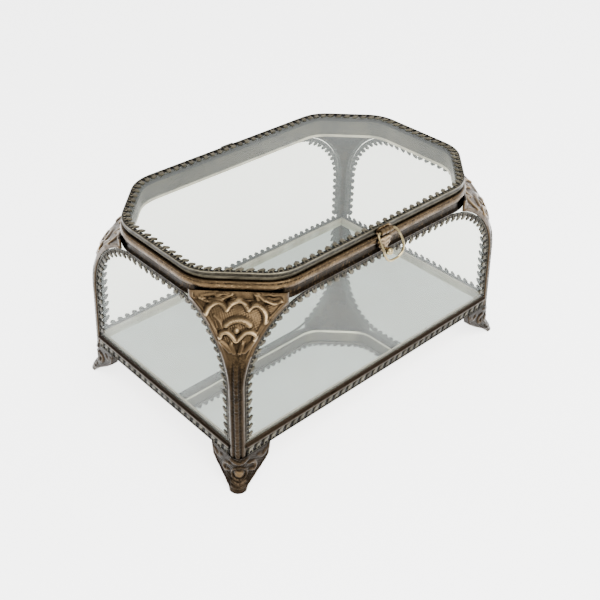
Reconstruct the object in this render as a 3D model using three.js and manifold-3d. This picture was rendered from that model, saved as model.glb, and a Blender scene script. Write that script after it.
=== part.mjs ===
// Glass vitrine casket: four arched panes in a stamped brass frame on cast feet,
// with a mirror floor, a hinged octagonal glass lid and a swinging wire clasp.
// Millimetres, +Z up, long side along X, clasp on the -Y side.

import * as THREE from 'three';
import { mergeVertices } from 'three/addons/utils/BufferGeometryUtils.js';
import Module from 'manifold-3d';

const wasm = await Module();
wasm.setup();

// ---- Driving dimensions ------------------------------------------------------------

const PANE_X = 90.0;            // outer face of the end panes at their foot, from the centre
const PANE_Y = 57.4;            // outer face of the long panes at their foot, from the centre
const PANE_THICK = 1.6;
const LEAN = 0.038;             // how far the walls lean in, per unit of height

const RAIL_BOTTOM = 17.8;       // height of the base rail above the surface it stands on
const RAIL_HEIGHT = 4.4;
const RAIL_SHEET = 0.5;
const RAIL_FLANGE = 4.0;        // how far the rail reaches in under the base plate
const RAIL_FLOOR = 0.6;         // thickness of the rail's flange
const BASE_PLATE_THICK = 0.6;
const MIRROR_THICK = 1.2;
const STOP_THICK = 1.0;         // inner strip that holds the panes at their foot
const STOP_RISE = 2.4;          // how far that strip stands above the mirror

const PANE_TOP = 89.5;
const ARCH_START = 54.0;        // height at which posts begin to widen into spandrels
const ARCH_REACH_X = 38.0;      // spandrel reach along a long pane, beyond the post
const ARCH_REACH_Y = 33.0;      // the same along an end pane
const POST_REACH = 4.2;         // width of a post on each pane
const POST_PROUD = 1.0;         // outer face of a post, proud of the glass
const POST_FLANGE = 1.7;        // flat edge of a corner sheet, in the plane of the glass
const GLASS_LAP = 1.0;          // how far the glass reaches in behind that edge
const SHEET_THICK = 0.8;
const SPANDREL_BULGE = 0.1;     // bow of the spandrel's section, as a share of its chord

const RIM_SETBACK = 0.6;        // rim outline, inside the glass at the top of the panes
const RIM_CHAMFER = 27.0;
const RIM_CORNER_RADIUS = 20.0;
const RIM_HEIGHT = 8.3;
const RIM_WALL = 3.4;
const RECESS_HEIGHT = 3.9;      // plain wall of the rim, under its moulding
const MOULDING_PROUD = 1.3;

const LID_INSET = 0.8;          // lid outline, inside the rim outline
const LID_LIP = 1.0;            // thickness of the lid's outer band
const LID_BAND_HEIGHT = 2.9;
const LID_LEDGE = 1.0;          // thickness of the ledge under the lid's glass
const LID_GLASS_THICK = 1.8;

const GALLERY_WIDTH = 4.0;      // length of the gallery leaves
const GALLERY_THICK = 0.6;
const BASE_GALLERY_RISE = 3.0;

const FOOT_WING_X = 18.5;
const FOOT_WING_Y = 17.0;

const HINGE_HALF = 9.0;
const KNUCKLE_RADIUS = 1.5;
const KNUCKLE_HALF = 3.7;       // half length of the lid's middle knuckle
const KNUCKLE_GAP = 0.3;
const HINGE_PLATE = 0.8;
const HINGE_PLATE_HEIGHT = 4.4;
const HINGE_LEAF_DROP = 0.9;    // lid leaf, below the top of the lid edging
const PIN_RADIUS = 0.75;
const PIN_OVERHANG = 0.5;       // how far the pin shows past its knuckles
const KNUCKLE_STANDOFF = 0.2;   // knuckles clear of the plate's inner face

const CLASP_HALF = 5.0;         // half width of the clasp's tab on the lid
const CLASP_PIVOT_RISE = 2.1;   // loop's pivot above the underside of the lid
const TAB_HEIGHT = 4.1;
const LOOP_WIRE = 0.6;          // radius of the loop's wire
const LOOP_HALF_WIDTH = 6.4;
const LOOP_DROP = 12.4;
const LOOP_BOW = 6.2;           // how far the loop's foot stands out from its pivot
const BARREL_WALL = 0.7;        // wall of the tab's barrel, round the loop's wire
const BARREL_STANDOFF = 0.5;    // wire bore clear of the tab's outer face
const CATCH_HALF = 4.8;
const CATCH_HEIGHT = 8.1;
const KNOB_RADIUS = 1.9;
const KNOB_DROP = 9.8;          // knob centre below the loop's pivot
const STEM_RADIUS = 0.9;
const STEM_LENGTH = 0.9;        // plate to ball

const SEAT = 0.3;               // gap where one piece is carried by another
const SKIN = 0.25;              // gap between a thin strip and what backs it
const BORE_GAP = 0.1;           // radial gap of a pin in its bore
const STEM_GAP = 0.1;           // gap between the knob's stem and the catch plate
const ARC_STEPS = 12;

// ---- Sizes that follow from them ---------------------------------------------------

const seatZ = RAIL_BOTTOM + RAIL_FLOOR + SEAT;
const mirrorBottom = seatZ + BASE_PLATE_THICK + SEAT;
const mirrorTop = mirrorBottom + MIRROR_THICK;
const leanAtTop = LEAN * (PANE_TOP - RAIL_BOTTOM);
const rimX = PANE_X - leanAtTop - RIM_SETBACK;
const rimY = PANE_Y - leanAtTop - RIM_SETBACK;
const stopTop = mirrorTop + STOP_RISE;
const rimBottom = PANE_TOP + SEAT;
const rimTop = rimBottom + RIM_HEIGHT;
const lidBottom = rimTop + SEAT;
const lidGlassBottom = lidBottom + LID_LEDGE + SEAT;
const lidGlassTop = lidGlassBottom + LID_GLASS_THICK;
const galleryOut = SKIN + GALLERY_THICK;
const paneEdge = POST_REACH - GLASS_LAP;
const archRise = PANE_TOP - ARCH_START;

// ---- Finishes ----------------------------------------------------------------------

const finish = (color, roughness, metalness, extra = {}) =>
  new THREE.MeshStandardMaterial({ color, roughness, metalness, ...extra });
const BRASS = [0x8a6f52, 0.42, 0.9];
const DARK_BRASS = [0x6d5a44, 0.5, 0.9];
const GREY_BRASS = [0x7c7261, 0.45, 0.85];
const GLASS = [0xdfe9e4, 0.05, 0.0, { transparent: true, opacity: 0.3 }];
const MIRROR = [0xc9d3cf, 0.04, 1.0];
const BOARD = [0x4a4236, 0.9, 0.0];
const WIRE = [0xd9cfae, 0.3, 1.0];

// ---- Geometry helpers --------------------------------------------------------------

// A closed surface through rows of points. Every row is a closed ring of the same
// length. With wrap the last row meets the first, without it flat caps end the solid.
function skin(rows, wrap) {
  const count = rows[0].length;
  const positions = rows.flat().flatMap((p) => [p.x, p.y, p.z]);
  const index = [];
  const spans = wrap ? rows.length : rows.length - 1;
  for (let r = 0; r < spans; r++) {
    const here = r * count;
    const next = ((r + 1) % rows.length) * count;
    for (let i = 0; i < count; i++) {
      const j = (i + 1) % count;
      index.push(here + i, here + j, next + j);
      index.push(here + i, next + j, next + i);
    }
  }
  if (!wrap) {
    capTriangles(rows[0]).forEach(([a, b, c]) => index.push(a, c, b));
    const top = (rows.length - 1) * count;
    capTriangles(rows[rows.length - 1]).forEach(([a, b, c]) => index.push(top + a, top + b, top + c));
  }
  const geometry = new THREE.BufferGeometry();
  geometry.setAttribute('position', new THREE.Float32BufferAttribute(positions, 3));
  geometry.setIndex(index);
  return outward(geometry);
}

// Cap triangles of a row that lies in one level, wound the way the row runs.
function capTriangles(row) {
  const outline = row.map((p) => new THREE.Vector2(p.x, p.y));
  const clockwise = THREE.ShapeUtils.isClockWise(outline);
  const triangles = THREE.ShapeUtils.triangulateShape(outline, []);
  const area = ([a, b, c]) => {
    const ab = outline[b].clone().sub(outline[a]);
    return ab.cross(outline[c].clone().sub(outline[a]));
  };
  return triangles.map((t) => ((area(t) < 0) === clockwise ? t : [t[0], t[2], t[1]]));
}

// Turns a closed surface inside out when its volume comes out negative.
function outward(geometry) {
  const index = geometry.getIndex();
  const position = geometry.getAttribute('position');
  const corner = (k) => new THREE.Vector3().fromBufferAttribute(position, index.getX(k));
  let volume = 0;
  for (let k = 0; k < index.count; k += 3) {
    volume += corner(k).dot(corner(k + 1).cross(corner(k + 2)));
  }
  if (volume < 0) {
    for (let k = 0; k < index.count; k += 3) {
      const second = index.getX(k + 1);
      index.setX(k + 1, index.getX(k + 2));
      index.setX(k + 2, second);
    }
  }
  return geometry;
}

function toSolid(geometry) {
  const bare = geometry.clone();
  bare.deleteAttribute('normal');
  bare.deleteAttribute('uv');
  const merged = mergeVertices(bare, 1e-5);
  return new wasm.Manifold(new wasm.Mesh({
    numProp: 3,
    vertProperties: new Float32Array(merged.getAttribute('position').array),
    triVerts: new Uint32Array(merged.getIndex().array),
  }));
}

function fromSolid(solid) {
  const mesh = solid.getMesh();
  const geometry = new THREE.BufferGeometry();
  geometry.setAttribute('position', new THREE.Float32BufferAttribute(mesh.vertProperties, 3));
  geometry.setIndex(Array.from(mesh.triVerts));
  return geometry;
}

function box(x0, x1, y0, y1, z0, z1) {
  const geometry = new THREE.BoxGeometry(x1 - x0, y1 - y0, z1 - z0);
  return geometry.translate((x0 + x1) / 2, (y0 + y1) / 2, (z0 + z1) / 2);
}

// A cylinder along X, between x0 and x1.
function rodX(radius, x0, x1, y, z, sides = 20) {
  const geometry = new THREE.CylinderGeometry(radius, radius, x1 - x0, sides);
  return geometry.rotateZ(Math.PI / 2).translate((x0 + x1) / 2, y, z);
}

// Outline of the rim, grown by offset: a rectangle with chamfered, rounded corners.
function octagon(offset) {
  const hx = rimX + offset;
  const hy = rimY + offset;
  const chamfer = RIM_CHAMFER + offset * (2 - Math.SQRT2);
  const radius = RIM_CORNER_RADIUS + offset;
  const tips = [
    [hx, -hy + chamfer], [hx, hy - chamfer], [hx - chamfer, hy], [-hx + chamfer, hy],
    [-hx, hy - chamfer], [-hx, -hy + chamfer], [-hx + chamfer, -hy], [hx - chamfer, -hy],
  ].map(([x, y]) => new THREE.Vector2(x, y));
  const turn = Math.PI / 4;
  const steps = 5;
  const points = [];
  tips.forEach((tip, i) => {
    const before = tips[(i + 7) % 8];
    const along = tip.clone().sub(before).normalize();
    const start = tip.clone().addScaledVector(along, -radius * Math.tan(turn / 2));
    const centre = start.clone().add(new THREE.Vector2(-along.y, along.x).multiplyScalar(radius));
    for (let k = 0; k <= steps; k++) {
      points.push(start.clone().rotateAround(centre, (turn * k) / steps));
    }
  });
  return points;
}

// A ring round the rim outline, swept from a closed section of [offset, height] pairs.
function rimRing(section) {
  const rows = section.map(([offset, z]) =>
    octagon(offset).map((p) => new THREE.Vector3(p.x, p.y, z)));
  return skin(rows, true);
}

// Leans upright walls in towards the middle, from the base rail to the top of the panes.
function leanIn(geometry) {
  const position = geometry.getAttribute('position');
  for (let k = 0; k < position.count; k++) {
    const height = THREE.MathUtils.clamp(position.getZ(k), RAIL_BOTTOM, PANE_TOP) - RAIL_BOTTOM;
    const x = position.getX(k);
    const y = position.getY(k);
    position.setX(k, x - Math.sign(x) * LEAN * height);
    position.setY(k, y - Math.sign(y) * LEAN * height);
  }
  return geometry;
}

// A straight strip along one side of the base, from a section of [out, height] pairs.
function sideStrip(side, section, gapToCorner) {
  const shape = new THREE.Shape(section.map(([out, z]) => new THREE.Vector2(out, z)));
  const length = 2 * (side.halfLength - gapToCorner);
  const geometry = new THREE.ExtrudeGeometry(shape, { depth: length, bevelEnabled: false });
  geometry.translate(0, 0, -length / 2);
  const out = new THREE.Vector3(side.normal.x, side.normal.y, 0);
  const up = new THREE.Vector3(0, 0, 1);
  const along = new THREE.Vector3().crossVectors(out, up);
  geometry.applyMatrix4(new THREE.Matrix4().makeBasis(out, up, along));
  return leanIn(geometry.translate(out.x * side.plane, out.y * side.plane, 0));
}

// An upright plate in the plane of one side: shape in [along, height], from inner to outer.
function sidePlate(side, shape, inner, outer) {
  const geometry = new THREE.ExtrudeGeometry(shape, {
    depth: outer - inner, bevelEnabled: false, curveSegments: ARC_STEPS,
  });
  const out = new THREE.Vector3(side.normal.x, side.normal.y, 0);
  const up = new THREE.Vector3(0, 0, 1);
  const along = new THREE.Vector3().crossVectors(up, out);
  geometry.applyMatrix4(new THREE.Matrix4().makeBasis(along, up, out));
  const shift = side.plane + inner;
  return leanIn(geometry.translate(out.x * shift, out.y * shift, 0));
}

// ---- The four sides ----------------------------------------------------------------

const SIDES = [
  { name: 'front', normal: { x: 0, y: -1 }, plane: PANE_Y, halfLength: PANE_X, reach: ARCH_REACH_X },
  { name: 'right', normal: { x: 1, y: 0 }, plane: PANE_X, halfLength: PANE_Y, reach: ARCH_REACH_Y },
  { name: 'back', normal: { x: 0, y: 1 }, plane: PANE_Y, halfLength: PANE_X, reach: ARCH_REACH_X },
  { name: 'left', normal: { x: -1, y: 0 }, plane: PANE_X, halfLength: PANE_Y, reach: ARCH_REACH_Y },
];

// Points of a pane's arch, from the post to the pane's top, drawn inward by inset.
function archPoints(side, inset, sign) {
  const centre = side.halfLength - POST_REACH - side.reach;
  const rx = side.reach - inset;
  const rz = archRise - inset;
  const top = Math.min(PANE_TOP, ARCH_START + rz) - ARCH_START;
  const end = Math.asin(Math.min(1, top / rz));
  const points = [];
  for (let k = 0; k <= ARC_STEPS; k++) {
    const angle = (end * k) / ARC_STEPS;
    const along = centre + rx * Math.cos(angle);
    points.push(new THREE.Vector2(sign * along, ARCH_START + rz * Math.sin(angle)));
  }
  return points;
}

// Where the chamfered face of a corner sheet ends on a pane, at the top.
const faceEnd = RIM_CHAMFER + 2 * RIM_SETBACK + POST_PROUD - Math.SQRT2 * (SEAT + SHEET_THICK);
const flangeEnd = faceEnd + POST_FLANGE;

function paneGeometry(side) {
  const edge = side.halfLength - paneEdge;
  const narrowest = side.halfLength - flangeEnd + GLASS_LAP;
  const right = archPoints(side, -GLASS_LAP, 1);
  right.forEach((p) => p.setX(Math.max(p.x, narrowest)));
  const left = right.map((p) => new THREE.Vector2(-p.x, p.y)).reverse();
  const foot = [new THREE.Vector2(-edge, seatZ), new THREE.Vector2(edge, seatZ)];
  const shape = new THREE.Shape([...foot, ...right, ...left]);
  return sidePlate(side, shape, -PANE_THICK, 0);
}

// Gallery strip up one post and round its arch, on the outside of the glass.
function archStrip(side, sign) {
  const foot = RAIL_BOTTOM + RAIL_HEIGHT + BASE_GALLERY_RISE + 2 * SEAT;
  const outer = archPoints(side, SEAT, sign);
  const inner = archPoints(side, SEAT + GALLERY_WIDTH, sign).reverse();
  const first = new THREE.Vector2(outer[0].x, foot);
  const last = new THREE.Vector2(inner[inner.length - 1].x, foot);
  const shape = new THREE.Shape([first, ...outer, ...inner, last]);
  return sidePlate(side, shape, SKIN, galleryOut);
}

function topStrip(side) {
  const half = side.halfLength - POST_REACH - side.reach - SEAT;
  const high = PANE_TOP - SEAT;
  const low = high - GALLERY_WIDTH;
  const corners = [[-half, low], [half, low], [half, high], [-half, high]];
  const shape = new THREE.Shape(corners.map(([x, z]) => new THREE.Vector2(x, z)));
  return sidePlate(side, shape, SKIN, galleryOut);
}

const railTop = RAIL_BOTTOM + RAIL_HEIGHT;
const railOut = SKIN + RAIL_SHEET;
const railSection = [
  [railOut, RAIL_BOTTOM], [railOut, railTop], [SKIN, railTop],
  [SKIN, RAIL_BOTTOM + RAIL_FLOOR], [-RAIL_FLANGE, RAIL_BOTTOM + RAIL_FLOOR],
  [-RAIL_FLANGE, RAIL_BOTTOM],
];
const baseGalleryIn = railOut + SKIN;
const baseGalleryTop = railTop + BASE_GALLERY_RISE;
const baseGallerySection = [
  [baseGalleryIn, RAIL_BOTTOM], [baseGalleryIn + GALLERY_THICK, RAIL_BOTTOM],
  [baseGalleryIn + GALLERY_THICK, railTop], [galleryOut, baseGalleryTop],
  [SKIN, baseGalleryTop], [SKIN, baseGalleryTop - GALLERY_THICK], [baseGalleryIn, railTop],
];

// ---- Corner pieces: post below, spandrel above -------------------------------------

// Corner frames: a runs in along X from the glass corner and b runs in along Y.
const CORNERS = [
  { name: 'front_left', sx: -1, sy: -1 },
  { name: 'front_right', sx: 1, sy: -1 },
  { name: 'back_right', sx: 1, sy: 1 },
  { name: 'back_left', sx: -1, sy: 1 },
];
const cornerPoint = (corner, a, b, z) =>
  new THREE.Vector3(corner.sx * (PANE_X - a), corner.sy * (PANE_Y - b), z);

// Reach of a corner sheet along a pane at one height, moved towards the corner by inset.
function sheetReach(reach, z, inset) {
  const height = Math.min(1, Math.max(0, z - ARCH_START) / (archRise + inset));
  return POST_REACH + reach - (reach + inset) * Math.sqrt(Math.max(0, 1 - height ** 2));
}

// One level of a corner sheet, as a closed ring of [a, b] pairs.
function cornerSection(z) {
  const reachA = Math.min(sheetReach(ARCH_REACH_X, z, 0), flangeEnd);
  const reachB = Math.min(sheetReach(ARCH_REACH_Y, z, 0), flangeEnd);
  const a1 = Math.min(sheetReach(ARCH_REACH_X, z, POST_FLANGE), faceEnd);
  const b1 = Math.min(sheetReach(ARCH_REACH_Y, z, POST_FLANGE), faceEnd);
  const start = new THREE.Vector2(a1, -POST_PROUD);
  const end = new THREE.Vector2(-POST_PROUD, b1);
  const chord = end.clone().sub(start);
  const out = new THREE.Vector2(chord.y, -chord.x).normalize().negate();
  const rise = Math.min(1, Math.max(0, z - ARCH_START) / archRise);
  const bulge = SPANDREL_BULGE * chord.length() * (1 - rise ** 2);
  const steps = 6;
  const outer = [];
  const inner = [];
  for (let k = 0; k <= steps; k++) {
    const t = k / steps;
    const base = start.clone().addScaledVector(chord, t);
    base.addScaledVector(out, 4 * bulge * t * (1 - t));
    outer.push(base);
    inner.push(base.clone().addScaledVector(out, -SHEET_THICK));
  }
  inner[0].set(start.x + SHEET_THICK / 2, -SKIN);
  inner[steps].set(-SKIN, end.y + SHEET_THICK / 2);
  return [
    new THREE.Vector2(reachA, -SKIN), new THREE.Vector2(reachA, -POST_PROUD), ...outer,
    new THREE.Vector2(-POST_PROUD, reachB), new THREE.Vector2(-SKIN, reachB), ...inner.reverse(),
  ];
}

function cornerGeometry(corner) {
  const levels = [RAIL_BOTTOM];
  for (let k = 0; k <= ARC_STEPS; k++) {
    levels.push(ARCH_START + archRise * Math.sin((Math.PI / 2) * (k / ARC_STEPS)));
  }
  levels.push(rimBottom + RECESS_HEIGHT - SEAT);
  const rows = levels.map((z) => cornerSection(z).map((p) => cornerPoint(corner, p.x, p.y, z)));
  return leanIn(skin(rows, false));
}

// ---- Feet --------------------------------------------------------------------------

// Levels of a foot: height and wing reach as shares, how far it stands out, corner
// radius and wall, from the toe up to the rail.
const FOOT_LEVELS = [
  { rise: 0.0, wing: 0.05, proud: 4.6, radius: 4.4, wall: 4.4 },
  { rise: 0.14, wing: 0.15, proud: 3.9, radius: 5.4, wall: 4.3 },
  { rise: 0.29, wing: 0.4, proud: 3.0, radius: 8.0, wall: 4.0 },
  { rise: 0.47, wing: 0.68, proud: 2.3, radius: 9.0, wall: 3.6 },
  { rise: 0.66, wing: 0.92, proud: 1.8, radius: 6.0, wall: 3.4 },
  { rise: 1.0, wing: 1.0, proud: 1.4, radius: 5.0, wall: 3.2 },
];

function footSection({ wing, proud, radius, wall }) {
  const side = (out, r) => {
    const steps = 8;
    const points = [[wing * FOOT_WING_X, -out]];
    for (let k = 0; k <= steps; k++) {
      const angle = -Math.PI / 2 - (Math.PI / 2) * (k / steps);
      points.push([r - out + r * Math.cos(angle), r - out + r * Math.sin(angle)]);
    }
    points.push([-out, wing * FOOT_WING_Y]);
    return points;
  };
  const inner = side(proud - wall, Math.max(radius - wall, 0.6));
  return [...side(proud, radius), ...inner.reverse()];
}

function footGeometry(corner) {
  const height = RAIL_BOTTOM - SEAT;
  const rows = FOOT_LEVELS.map((level) =>
    footSection(level).map(([a, b]) => cornerPoint(corner, a, b, level.rise * height)));
  return skin(rows, false);
}

// ---- Rim and lid -------------------------------------------------------------------

function rimGeometry() {
  const recessTop = rimBottom + RECESS_HEIGHT;
  const middle = (recessTop + rimTop) / 2;
  const halfHeight = (rimTop - recessTop) / 2;
  const bead = [];
  const steps = 6;
  for (let k = 0; k <= steps; k++) {
    const angle = -Math.PI / 2 + (Math.PI * k) / steps;
    bead.push([MOULDING_PROUD * Math.cos(angle), middle + halfHeight * Math.sin(angle)]);
  }
  return rimRing([[-RIM_WALL, rimBottom], [0, rimBottom], ...bead, [-RIM_WALL, rimTop]]);
}

const lidOut = -LID_INSET;
const lidTop = lidBottom + LID_BAND_HEIGHT;
const lidGalleryTop = lidGlassTop + SKIN + GALLERY_THICK;
const lidGalleryOut = lidOut + galleryOut;

function lidFrameGeometry() {
  return rimRing([
    [lidOut, lidBottom], [lidOut, lidTop], [lidOut - LID_LIP, lidTop],
    [lidOut - LID_LIP, lidBottom + LID_LEDGE], [-RIM_WALL - LID_INSET, lidBottom + LID_LEDGE],
    [-RIM_WALL - LID_INSET, lidBottom],
  ]);
}

function lidGlassGeometry() {
  const shape = new THREE.Shape(octagon(lidOut - LID_LIP - SEAT));
  const geometry = new THREE.ExtrudeGeometry(shape, { depth: LID_GLASS_THICK, bevelEnabled: false });
  return geometry.translate(0, 0, lidGlassBottom);
}

function lidGalleryGeometry() {
  const under = lidGlassTop + SKIN;
  const skirt = lidTop - LID_BAND_HEIGHT / 2;
  return rimRing([
    [lidOut + SKIN, skirt], [lidGalleryOut, skirt], [lidGalleryOut, lidGalleryTop],
    [lidOut - GALLERY_WIDTH, lidGalleryTop], [lidOut - GALLERY_WIDTH, under],
    [lidOut + SKIN, under],
  ]);
}

// ---- Hinge at the back -------------------------------------------------------------

const bodyPlateIn = rimY + MOULDING_PROUD + SEAT;
const hingeY = bodyPlateIn + KNUCKLE_RADIUS + KNUCKLE_STANDOFF;
const hingeZ = rimTop;
const boreRadius = PIN_RADIUS + BORE_GAP;

function bored(pieces, x0, x1) {
  const bore = toSolid(rodX(boreRadius, x0 - 1, x1 + 1, hingeY, hingeZ));
  const joined = pieces.map(toSolid).reduce((all, piece) => all.add(piece));
  return fromSolid(joined.subtract(bore));
}

function hingeBodyLeafGeometry() {
  const plateTop = hingeZ - KNUCKLE_RADIUS - KNUCKLE_GAP;
  const plateOut = bodyPlateIn + HINGE_PLATE;
  const inner = KNUCKLE_HALF + KNUCKLE_GAP;
  const pieces = [
    box(-HINGE_HALF, HINGE_HALF, bodyPlateIn, plateOut, plateTop - HINGE_PLATE_HEIGHT, plateTop),
  ];
  [[-HINGE_HALF, -inner], [inner, HINGE_HALF]].forEach(([x0, x1]) => {
    pieces.push(box(x0, x1, bodyPlateIn, plateOut, plateTop - 1, hingeZ));
    pieces.push(rodX(KNUCKLE_RADIUS, x0, x1, hingeY, hingeZ));
  });
  return bored(pieces, -HINGE_HALF, HINGE_HALF);
}

function hingeLidLeafGeometry() {
  const plateIn = rimY + lidGalleryOut + SEAT;
  const plateOut = plateIn + HINGE_PLATE;
  const plateBottom = hingeZ + KNUCKLE_RADIUS + KNUCKLE_GAP;
  const armTop = plateBottom + HINGE_PLATE;
  const pieces = [
    box(-HINGE_HALF, HINGE_HALF, plateIn, plateOut, plateBottom, lidGalleryTop - HINGE_LEAF_DROP),
    box(-KNUCKLE_HALF, KNUCKLE_HALF, plateIn, hingeY, plateBottom - HINGE_PLATE, armTop),
    box(-KNUCKLE_HALF, KNUCKLE_HALF, hingeY - KNUCKLE_RADIUS, hingeY, hingeZ, armTop),
    rodX(KNUCKLE_RADIUS, -KNUCKLE_HALF, KNUCKLE_HALF, hingeY, hingeZ),
  ];
  return bored(pieces, -KNUCKLE_HALF, KNUCKLE_HALF);
}

// ---- Clasp at the front ------------------------------------------------------------

const claspZ = lidBottom + CLASP_PIVOT_RISE;
const tabIn = rimY + lidGalleryOut + SEAT;
const tabOut = tabIn + HINGE_PLATE;
const loopBore = LOOP_WIRE + BORE_GAP;
const claspY = -(tabOut + loopBore + BARREL_STANDOFF);
const catchIn = rimY + MOULDING_PROUD + SEAT;
const catchOut = catchIn + HINGE_PLATE;
const knobZ = claspZ - KNOB_DROP;
const knobY = -(catchOut + KNOB_RADIUS + STEM_LENGTH);

function claspTabGeometry() {
  const barrel = loopBore + BARREL_WALL;
  const plateTop = claspZ + TAB_HEIGHT / 2;
  const pieces = [
    box(-CLASP_HALF, CLASP_HALF, -tabOut, -tabIn, plateTop - TAB_HEIGHT, plateTop),
    rodX(barrel, -KNUCKLE_HALF, KNUCKLE_HALF, claspY, claspZ),
  ];
  const bore = toSolid(rodX(loopBore, -CLASP_HALF, CLASP_HALF, claspY, claspZ));
  const joined = pieces.map(toSolid).reduce((all, piece) => all.add(piece));
  return fromSolid(joined.subtract(bore));
}

// Wire loop through the tab's barrel: it bows out from the lid and hangs past the knob.
function claspLoopGeometry() {
  const right = [
    [0.0, 0.0, 0.0], [0.62, 0.0, 0.0], [0.84, 0.05, 0.03], [0.96, 0.3, 0.14],
    [1.0, 0.68, 0.36], [0.98, 0.9, 0.58], [0.84, 1.0, 0.8], [0.5, 1.0, 0.96],
  ];
  const left = right.slice(1).reverse().map(([x, out, drop]) => [-x, out, drop]);
  const route = [...right, [0, 1, 1], ...left].map(([x, out, drop]) => new THREE.Vector3(
    x * LOOP_HALF_WIDTH, claspY - out * LOOP_BOW, claspZ - drop * LOOP_DROP));
  const curve = new THREE.CatmullRomCurve3(route, true, 'centripetal');
  const stations = 56;
  const sides = 10;
  const across = new THREE.Vector3(0, -LOOP_DROP, LOOP_BOW).normalize();
  const rows = [];
  for (let k = 0; k < stations; k++) {
    const centre = curve.getPointAt(k / stations);
    const tangent = curve.getTangentAt(k / stations);
    const u = new THREE.Vector3().crossVectors(tangent, across).normalize();
    const v = new THREE.Vector3().crossVectors(tangent, u);
    const ring = [];
    for (let s = 0; s < sides; s++) {
      const angle = (2 * Math.PI * s) / sides;
      ring.push(centre.clone()
        .addScaledVector(u, LOOP_WIRE * Math.cos(angle))
        .addScaledVector(v, LOOP_WIRE * Math.sin(angle)));
    }
    rows.push(ring);
  }
  return skin(rows, true);
}

function catchPlateGeometry() {
  const top = rimTop - 2 * SEAT;
  return box(-CATCH_HALF, CATCH_HALF, -catchOut, -catchIn, top - CATCH_HEIGHT, top);
}

// Ball on a short stem, turned about Y.
function catchKnobGeometry() {
  const length = -knobY - catchOut - STEM_GAP;
  const neck = Math.asin(STEM_RADIUS / KNOB_RADIUS);
  const profile = [new THREE.Vector2(0, 0), new THREE.Vector2(STEM_RADIUS, 0)];
  const steps = 8;
  for (let k = 0; k <= steps; k++) {
    const angle = neck + ((Math.PI - neck) * k) / steps;
    const radius = k === steps ? 0 : KNOB_RADIUS * Math.sin(angle);
    profile.push(new THREE.Vector2(radius, length - KNOB_RADIUS * Math.cos(angle)));
  }
  const geometry = new THREE.LatheGeometry(profile, 20);
  return geometry.rotateX(Math.PI).translate(0, -catchOut - STEM_GAP, knobZ);
}

// ---- Assembly ----------------------------------------------------------------------

const casket = new THREE.Group();

function addPart(name, geometry, look) {
  const mesh = new THREE.Mesh(geometry, finish(...look));
  mesh.name = name;
  casket.add(mesh);
}

SIDES.forEach((side) => {
  const cornerGap = POST_REACH + SEAT;
  addPart(`rail_${side.name}`, sideStrip(side, railSection, cornerGap), DARK_BRASS);
  addPart(`base_gallery_${side.name}`, sideStrip(side, baseGallerySection, cornerGap), GREY_BRASS);
  addPart(`pane_${side.name}`, paneGeometry(side), GLASS);
  addPart(`arch_gallery_${side.name}_a`, archStrip(side, -1), GREY_BRASS);
  addPart(`arch_gallery_${side.name}_b`, archStrip(side, 1), GREY_BRASS);
  addPart(`top_gallery_${side.name}`, topStrip(side), GREY_BRASS);
  const stopIn = -PANE_THICK - SKIN;
  const stopSection = [
    [stopIn, seatZ], [stopIn, stopTop], [stopIn - STOP_THICK, stopTop], [stopIn - STOP_THICK, seatZ],
  ];
  const longSide = side.normal.x === 0;
  const stopGap = PANE_THICK + SKIN + (longSide ? 0 : STOP_THICK + SEAT);
  addPart(`pane_stop_${side.name}`, sideStrip(side, stopSection, stopGap), GREY_BRASS);
});

const bedInset = PANE_THICK + SKIN + STOP_THICK + SEAT + LEAN * (mirrorTop - RAIL_BOTTOM);
const bedX = PANE_X - bedInset;
const bedY = PANE_Y - bedInset;
addPart('base_plate', box(-bedX, bedX, -bedY, bedY, seatZ, seatZ + BASE_PLATE_THICK), BOARD);
addPart('floor_mirror', box(-bedX, bedX, -bedY, bedY, mirrorBottom, mirrorTop), MIRROR);

CORNERS.forEach((corner) => {
  addPart(`corner_${corner.name}`, cornerGeometry(corner), BRASS);
  addPart(`foot_${corner.name}`, footGeometry(corner), DARK_BRASS);
});

addPart('body_rim', rimGeometry(), BRASS);
addPart('lid_frame', lidFrameGeometry(), BRASS);
addPart('lid_glass', lidGlassGeometry(), GLASS);
addPart('lid_gallery', lidGalleryGeometry(), GREY_BRASS);

addPart('hinge_body_leaf', hingeBodyLeafGeometry(), DARK_BRASS);
addPart('hinge_lid_leaf', hingeLidLeafGeometry(), DARK_BRASS);
const pinHalf = HINGE_HALF + PIN_OVERHANG;
addPart('hinge_pin', rodX(PIN_RADIUS, -pinHalf, pinHalf, hingeY, hingeZ), WIRE);

addPart('clasp_tab', claspTabGeometry(), BRASS);
addPart('clasp_loop', claspLoopGeometry(), WIRE);
addPart('catch_plate', catchPlateGeometry(), DARK_BRASS);
addPart('catch_knob', catchKnobGeometry(), WIRE);

// The origin lies under the middle of the whole object's box.
const extent = new THREE.Box3().setFromObject(casket);
casket.position.y = -(extent.min.y + extent.max.y) / 2;

export default casket;
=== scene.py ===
"""Looks of the glass trinket box: pierced leaf edging, relief corners and feet, milled
rim, cast clasp, clear panes over a mirror floor, and a pale stage."""

import math
import random

import bpy
import numpy as np
from bpy.props import FloatProperty, FloatVectorProperty, PointerProperty
from mathutils import Matrix, Vector


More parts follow.
